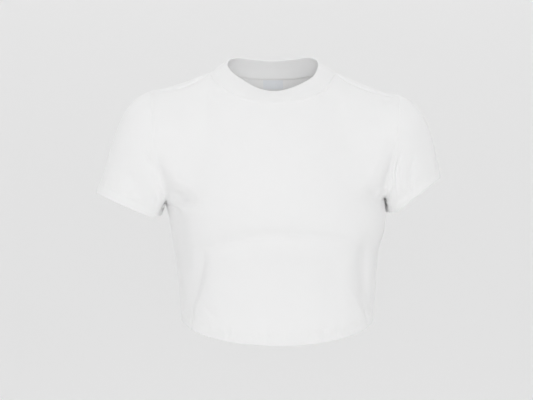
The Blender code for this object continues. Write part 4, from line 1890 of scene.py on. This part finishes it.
@dataclass
class Sewing:
    """The stitches on the hems and the trimmed seams inside the garment."""

    garment: Garment
    coverstitch: Stitching = Stitching(
        "coverstitch", StitchKind.BAR, pitch=0.0026, length=0.0022, width=0.0, radius=0.00016, bow=0.00035
    )
    looper: Stitching = Stitching(
        "hem_loopers",
        StitchKind.CROSS,
        pitch=0.0026,
        length=0.0026,
        width=0.0050,
        radius=0.00014,
        bow=0.00045,
    )
    overlock: Stitching = Stitching(
        "overlock", StitchKind.CROSS, pitch=0.0024, length=0.0024, width=0.0044, radius=0.00013, bow=0.00040
    )
    lift: float = 0.00006
    neck: Allowance = Allowance(width=0.0036, thickness=0.0015)
    body_seams: Allowance = Allowance(width=0.0060)
    rounded: tuple[int, int] = (2, 2)

    def hem_lines(self, name: str, inside: bool) -> tuple[Array, Array]:
        """Lines of a piece from its turned-up edge inwards, and the directions that they face.

        Args:
            name: the piece.
            inside: whether on its inside.

        Returns:
            The lines and the directions.
        """
        piece = self.garment.pieces[name]
        grid = piece.inner if inside else piece.points
        facing = -piece.normals if inside else piece.normals
        if name not in BODY_PIECES:
            grid, facing = grid[::-1], facing[::-1]
        return np.swapaxes(grid, 0, 1), np.swapaxes(facing, 0, 1)

    def hem_path(self, name: str, distance: float, inside: bool) -> StitchPath:
        """A line of sewing at a distance from a turned-up edge.

        Args:
            name: the piece.
            distance: how far from the edge.
            inside: whether on its inside.

        Returns:
            The line.
        """
        lines, facing = self.hem_lines(name, inside)
        lengths = arc_lengths(lines, 1)
        at = np.full((len(lines), 1), distance)
        outwards = unit(read_off(facing, lengths, at)[:, 0])
        points = read_off(lines, lengths, at)[:, 0] + outwards * self.lift
        return StitchPath(points, outwards, name not in BODY_PIECES)

    def hems(self, thread: Material) -> dict[str, Item]:
        """Sews the hem and the cuffs, outside and inside.

        Args:
            thread: the thread's material.

        Returns:
            The objects, by name.
        """
        names = [name for name in self.garment.pieces if name != "neckband"]
        rows = [self.hem_path(name, row, False) for name in names for row in TURN_UP.stitch_rows]
        middle = sum(TURN_UP.stitch_rows) / 2
        inside = [self.hem_path(name, middle, True) for name in names]
        return {
            "coverstitch": self.coverstitch.build(rows, thread),
            "hem_loopers": self.looper.build(inside, thread),
        }

    def seam_lines(self) -> dict[str, tuple[Allowance, Array, Array, bool]]:
        """Where each seam's allowance lies: lines from the seam over the inside of the cloth.

        Returns:
            By name: the allowance, the lines, the normals along them, and if they close.
        """
        body = self.garment.body
        pieces = self.garment.pieces
        shoulder_cells = (len(body.fine_across()) - 1 - body.neck_columns * body.finer_neck) // 2
        neck = slice(shoulder_cells, -shoulder_cells)
        lower = slice(None, len(body.fine_heights()))
        found = {}

        def from_top(piece: Cloth, columns: slice) -> tuple[Array, Array]:
            """Lines over a piece's inside from its top edge, and its normals there."""
            return tuple(np.swapaxes(grid[::-1, columns], 0, 1) for grid in (piece.inner, piece.normals))

        front, back = from_top(pieces["front"], neck), from_top(pieces["back"], neck)
        ring = [np.concatenate([one[:-1], other[:-1]]) for one, other in zip(front, back)]
        found["neck_seam_allowance"] = (self.neck, *ring, True)
        for name, columns in (("left", slice(1, shoulder_cells)), ("right", slice(-shoulder_cells, -1))):
            lines = from_top(pieces["back"], columns)
            found[f"shoulder_seam_allowance_{name}"] = (self.body_seams, *lines, False)
        for name, way in (("left", 1), ("right", -1)):
            lines = tuple(grid[lower, ::way] for grid in (pieces["back"].inner, pieces["back"].normals))
            found[f"side_seam_allowance_{name}"] = (self.body_seams, *lines, False)
        for sleeve in SLEEVES:
            piece = pieces[sleeve.name]
            lines = tuple(np.swapaxes(grid, 0, 1) for grid in (piece.inner, piece.normals))
            side = sleeve.name.split("_")[1]
            found[f"armhole_allowance_{side}"] = (self.body_seams, *lines, True)
        return found

    def allowances(self, finish: Material, thread: Material) -> dict[str, Item]:
        """Builds the allowances inside and overlocks them.

        Args:
            finish: the cloth's material.
            thread: the thread's material.

        Returns:
            The objects, by name.
        """
        made, paths = {}, []
        for name, (allowance, inner, normals, closed) in self.seam_lines().items():
            low, high, inwards = allowance.grids(inner, normals)
            middle = allowance.rows // 2
            paths.append(StitchPath(high[middle] + inwards[middle] * self.lift, inwards[middle], closed))
            cloth = Cloth(name, high, closed, 0.0, "jersey")
            outer, under = (high, low) if self.faces_out(high, low, closed) else (high[::-1], low[::-1])
            item = make_wall(name, outer, under, closed, self.rounded, cloth.pattern(), finish)
            made[name] = hand_over(item)
        made["overlock"] = self.overlock.build(paths, thread)
        return made

    def faces_out(self, grid: Array, under: Array, closed: bool) -> bool:
        """Whether a grid's own normals point away from the grid under it."""
        normals = Cloth("", grid, closed, 0.0, "").own_normals()
        return bool(np.sum(normals * (grid - under)) > 0)


@dataclass(frozen=True)
class NeckLabel:
    """The blank label, caught in the neckline seam and hanging inside the back."""

    width: float = 0.0295
    height: float = 0.0170
    centre: float = 0.0018
    drop: float = 0.0012
    clearance: float = 0.0003
    thickness: float = 0.0005
    corner: float = 0.0016
    curl: float = 0.0006
    curl_power: float = 1.5
    ripple: float = 0.4
    ripple_turn: float = 0.9
    rounded: tuple[int, int] = (2, 2)
    columns: int = 20
    rows: int = 16

    def build(self, back: Cloth, tape: Material) -> Item:
        """Lays the label on the back's inside.

        Args:
            back: the back's cloth.
            tape: the label's material.

        Returns:
            The object, riding on the body.
        """
        inner = back.inner
        middle = inner[:, inner.shape[1] // 2]
        drops = np.linalg.norm(middle[::-1] - middle[-1], axis=1)
        wanted = np.linspace(self.drop + self.height, self.drop, self.rows + 1)
        level = np.interp(wanted, drops, np.arange(len(drops)))
        line = inner[-2]
        below = wanted[0] - wanted
        inset = np.maximum(self.corner - below, 0)
        half = self.width / 2 - self.corner + np.sqrt(self.corner**2 - inset**2)
        reach = self.centre + np.linspace(1, -1, self.columns + 1)[None] * half[:, None]
        place = np.interp(-reach, -line[:, 0], np.arange(len(line)))
        rows = np.repeat((inner.shape[0] - 1 - level)[:, None], self.columns + 1, axis=1)
        base = sampled(inner, rows, place)
        inwards = -unit(sampled(back.normals, rows, place))
        hang = np.linspace(1, 0, self.rows + 1)[:, None]
        ripple = 1 + self.ripple * np.cos(place * self.ripple_turn)
        off = self.clearance + self.curl * hang**self.curl_power * ripple
        near = base + inwards * off[..., None]
        far = near + inwards * self.thickness
        cloth = Cloth("neck_label", near, False, 0.0, "label_tape")
        item = make_wall("neck_label_tape", near, far, False, self.rounded, cloth.pattern(), tape)
        return hand_over(item, "neck_label")


@dataclass(frozen=True)
class KnitFinish:
    """Knitted cotton: rows of small loops, soft fuzz and a little unevenness in tone."""

    name: str
    colour: Point
    shade: Point
    wale: float
    course: float
    relief: float
    rib: float = 0.0
    rib_relief: float = 0.0
    loop_slant: float = 1.1
    loop_share: float = 0.5
    ditch_share: float = -0.35
    fuzz_scale: float = 420.0
    fuzz_relief: float = 0.00016
    tone_scale: float = 34.0
    knit_in_tone: float = 0.12
    tone_range: tuple[float, float] = (0.25, 0.75)
    bump: float = 0.55
    roughness: float = 0.92
    sheen: float = 0.18
    sheen_roughness: float = 0.5
    gloss: float = 0.25

    def build(self) -> Material:
        """Makes the material.

        Returns:
            The material.
        """
        material, nodes = new_material(self.name)
        across, along = nodes.on_cloth()
        wale = nodes.math("FRACT", nodes.math("DIVIDE", across, self.wale))
        leg = nodes.math("ABSOLUTE", nodes.math("SUBTRACT", wale, 0.5))
        slant = nodes.plus(nodes.math("DIVIDE", along, self.course), nodes.times(leg, self.loop_slant))
        loops = nodes.math("SINE", nodes.times(slant, 2 * math.pi))
        ditch = nodes.math("COSINE", nodes.times(leg, 4 * math.pi))
        knit = nodes.plus(nodes.times(loops, self.loop_share), nodes.times(ditch, self.ditch_share))
        height = nodes.times(knit, self.relief)
        if self.rib:
            ridge = nodes.math("COSINE", nodes.times(across, 2 * math.pi / self.rib))
            height = nodes.plus(height, nodes.times(ridge, self.rib_relief))
        fuzz = nodes.noise(Scale=self.fuzz_scale, Detail=4.0, Roughness=0.6)
        height = nodes.plus(height, nodes.times(nodes.math("SUBTRACT", fuzz, 0.5), self.fuzz_relief))
        tone = nodes.noise(Scale=self.tone_scale, Detail=3.0, Roughness=0.55)
        tone = nodes.plus(nodes.times(knit, self.knit_in_tone), tone)
        low, high = self.tone_range
        share = nodes.add("ShaderNodeMapRange", i0=tone, From_Min=low, From_Max=high)
        nodes.surface(
            nodes.between(share.outputs[0], self.shade, self.colour),
            height,
            self.bump,
            Roughness=self.roughness,
            Sheen_Weight=self.sheen,
            Sheen_Roughness=self.sheen_roughness,
            Specular_IOR_Level=self.gloss,
        )
        return material


@dataclass(frozen=True)
class TapeFinish:
    """A woven satin tape: fine threads across, a soft gloss along."""

    name: str
    colour: Point
    shade: Point
    thread: float = 0.00035
    warp_share: float = 0.6
    weft_weight: float = 0.7
    warp_weight: float = 0.3
    contrast: float = 0.4
    relief: float = 0.00002
    bump: float = 0.5
    roughness: float = 0.55
    sheen: float = 0.1

    def build(self) -> Material:
        """Makes the material.

        Returns:
            The material.
        """
        material, nodes = new_material(self.name)
        across, along = nodes.on_cloth()
        turn = 2 * math.pi / self.thread
        weft = nodes.math("SINE", nodes.times(along, turn))
        warp = nodes.math("SINE", nodes.times(across, turn * self.warp_share))
        weave = nodes.plus(nodes.times(weft, self.weft_weight), nodes.times(warp, self.warp_weight))
        share = nodes.math("MULTIPLY_ADD", weave, self.contrast, 0.5)
        colour, height = nodes.between(share, self.shade, self.colour), nodes.times(weave, self.relief)
        nodes.surface(colour, height, self.bump, Roughness=self.roughness, Sheen_Weight=self.sheen)
        return material


@dataclass(frozen=True)
class ThreadFinish:
    """Spun polyester sewing thread, twisted."""

    name: str
    colour: Point
    shade: float = 0.94
    ply_scale: float = 3000.0
    relief: float = 0.00006
    bump: float = 0.5
    roughness: float = 0.6

    def build(self) -> Material:
        """Makes the material.

        Returns:
            The material.
        """
        material, nodes = new_material(self.name)
        ply = nodes.noise(Scale=self.ply_scale, Detail=2.0)
        colour = nodes.between(ply, [self.shade * value for value in self.colour], self.colour)
        nodes.surface(colour, nodes.times(ply, self.relief), self.bump, Roughness=self.roughness)
        return material


@dataclass(frozen=True)
class SoftLight:
    """One far, wide soft light: where it comes from, how wide it is and how strong."""

    name: str
    place: Point
    spread: float
    strength: float


@dataclass(frozen=True)
class Studio:
    """The floor, the light round the object and the camera."""

    target: Point = (-0.0081, 0.0, -0.2014)
    distance: float = 2.2
    elevation: float = math.radians(8.0)
    metres_per_pixel: float = 0.00147
    picture_width: int = 533
    sensor: float = 36.0
    floor_drop: float = 0.30
    floor_size: float = 600.0
    floor_tone: float = 0.82
    floor_shade: float = 0.99
    floor_roughness: float = 0.95
    nearest: float = 0.05
    sky: tuple[tuple[float, float], ...] = (
        (0.00, 0.70),
        (0.14, 0.70),
        (0.30, 0.20),
        (0.60, 0.20),
        (0.80, 1.12),
        (1.00, 1.12),
    )
    lights: tuple[SoftLight, ...] = (
        SoftLight("key_light", (0.0, -1.0, 0.03), math.radians(30), 1.45),
        SoftLight("fill_light", (0.6, -1.0, 0.08), math.radians(30), 0.43),
        SoftLight("side_light", (-1.0, -0.2, 0.05), math.radians(30), 0.42),
        SoftLight("rear_light", (0.0, 1.0, 0.30), math.radians(50), 1.00),
        SoftLight("rim_light_right", (-1.0, 0.6, 0.40), math.radians(40), 0.32),
        SoftLight("rim_light_left", (1.0, 0.6, 0.40), math.radians(40), 0.30),
    )
    inside_light_place: Point = (-0.050, 0.0, -0.13)
    inside_light_radius: float = 0.04
    inside_light_power: float = 0.054

    def floor(self) -> Item:
        """A plain pale floor, well below the hem.

        Returns:
            The floor.
        """
        low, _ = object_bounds()
        size, height = self.floor_size / 2, low.z - self.floor_drop
        mesh = bpy.data.meshes.new("floor")
        corners = [(-size, -size, height), (size, -size, height), (size, size, height), (-size, size, height)]
        mesh.from_pydata(corners, [], [(0, 1, 2, 3)])
        material, nodes = new_material("pale_floor")
        grain = nodes.add("ShaderNodeTexNoise", Scale=3.0, Detail=2.0).outputs["Fac"]
        tones = [(tone,) * 3 for tone in (self.floor_tone * self.floor_shade, self.floor_tone)]
        nodes.surface(nodes.between(grain, *tones), None, 0.0, Roughness=self.floor_roughness)
        mesh.materials.append(material)
        item = add_object("floor", mesh)
        item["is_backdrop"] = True
        return item

    def light(self) -> None:
        """A sky with a bright horizon and a soft box overhead, the far lights and a faint one inside."""
        world = bpy.data.worlds.new("studio")
        world.use_nodes = True
        nodes = Nodes(world.node_tree)
        way = nodes.add("ShaderNodeTexCoord")
        up = nodes.add("ShaderNodeSeparateXYZ", i0=way.outputs["Generated"]).outputs[2]
        most = max(value for _, value in self.sky)
        ramp = nodes.add("ShaderNodeValToRGB", Fac=up)
        ramp.color_ramp.interpolation = "EASE"
        for number, (height, value) in enumerate(self.sky):
            stops = ramp.color_ramp.elements
            stop = stops[number] if number < len(stops) else stops.new(height)
            stop.position = height
            stop.color = (value / most,) * 3 + (1.0,)
        glow = nodes.add("ShaderNodeBackground", Color=ramp.outputs[0], Strength=most)
        nodes.add("ShaderNodeOutputWorld", Surface=glow.outputs[0])
        bpy.context.scene.world = world
        for lamp in self.lights:
            data = bpy.data.lights.new(lamp.name, "SUN")
            data.angle = lamp.spread
            data.energy = lamp.strength
            item = add_object(lamp.name, data)
            item.location = lamp.place
            item.rotation_euler = Vector(lamp.place).to_track_quat("Z", "Y").to_euler()
        data = bpy.data.lights.new("inside_light", "POINT")
        data.shadow_soft_size = self.inside_light_radius
        data.energy = self.inside_light_power
        item = add_object("inside_light", data)
        item.location = self.inside_light_place
        item.visible_camera = False

    def camera(self) -> Item:
        """The camera, at the photograph's viewing angle and framing.

        Returns:
            The camera.
        """
        data = bpy.data.cameras.new("camera")
        data.sensor_width = self.sensor
        data.lens = self.distance / self.metres_per_pixel * self.sensor / self.picture_width
        data.clip_start, data.clip_end = self.nearest, self.floor_size
        item = add_object("camera", data)
        back = Vector((0.0, -math.cos(self.elevation), math.sin(self.elevation)))
        item.location = Vector(self.target) + back * self.distance
        item.rotation_euler = (-back).to_track_quat("-Z", "Y").to_euler()
        bpy.context.scene.camera = item
        return item


def make_finishes() -> dict[str, Material]:
    """Makes every material of the garment, by slot, and the thread.

    Returns:
        The materials.
    """
    return {
        "jersey": KnitFinish(
            "white_cotton_jersey",
            colour=(0.876, 0.876, 0.876),
            shade=(0.868, 0.868, 0.869),
            wale=0.00078,
            course=0.00060,
            relief=0.00005,
        ).build(),
        "rib": KnitFinish(
            "white_cotton_rib",
            colour=(0.872, 0.872, 0.872),
            shade=(0.860, 0.860, 0.861),
            wale=0.00070,
            course=0.00056,
            relief=0.00004,
            rib=0.0014,
            rib_relief=0.00006,
        ).build(),
        "label_tape": TapeFinish("pale_blue_grey_tape", (0.84, 0.86, 0.89), (0.79, 0.81, 0.84)).build(),
        "thread": ThreadFinish("white_thread", (0.90, 0.90, 0.89)).build(),
    }


def clear_scene() -> None:
    """Removes every object that is there at the start."""
    for item in list(bpy.data.objects):
        bpy.data.objects.remove(item, do_unlink=True)


def main() -> None:
    """Builds the garment, its sewing and the studio, in order."""
    logging.basicConfig(level=logging.INFO, format="%(name)s: %(message)s")
    clear_scene()
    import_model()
    finishes = make_finishes()
    garment = Garment()
    garment.lay_out()
    cloth = garment.build(finishes)
    sewing = Sewing(garment)
    trim = sewing.hems(finishes["thread"]) | sewing.allowances(finishes["jersey"], finishes["thread"])
    label = NeckLabel().build(garment.pieces["back"], finishes["label_tape"])
    studio = Studio()
    studio.floor()
    studio.light()
    studio.camera()
    bpy.context.scene.view_settings.view_transform = "Standard"


if __name__ == "__main__":
    main()
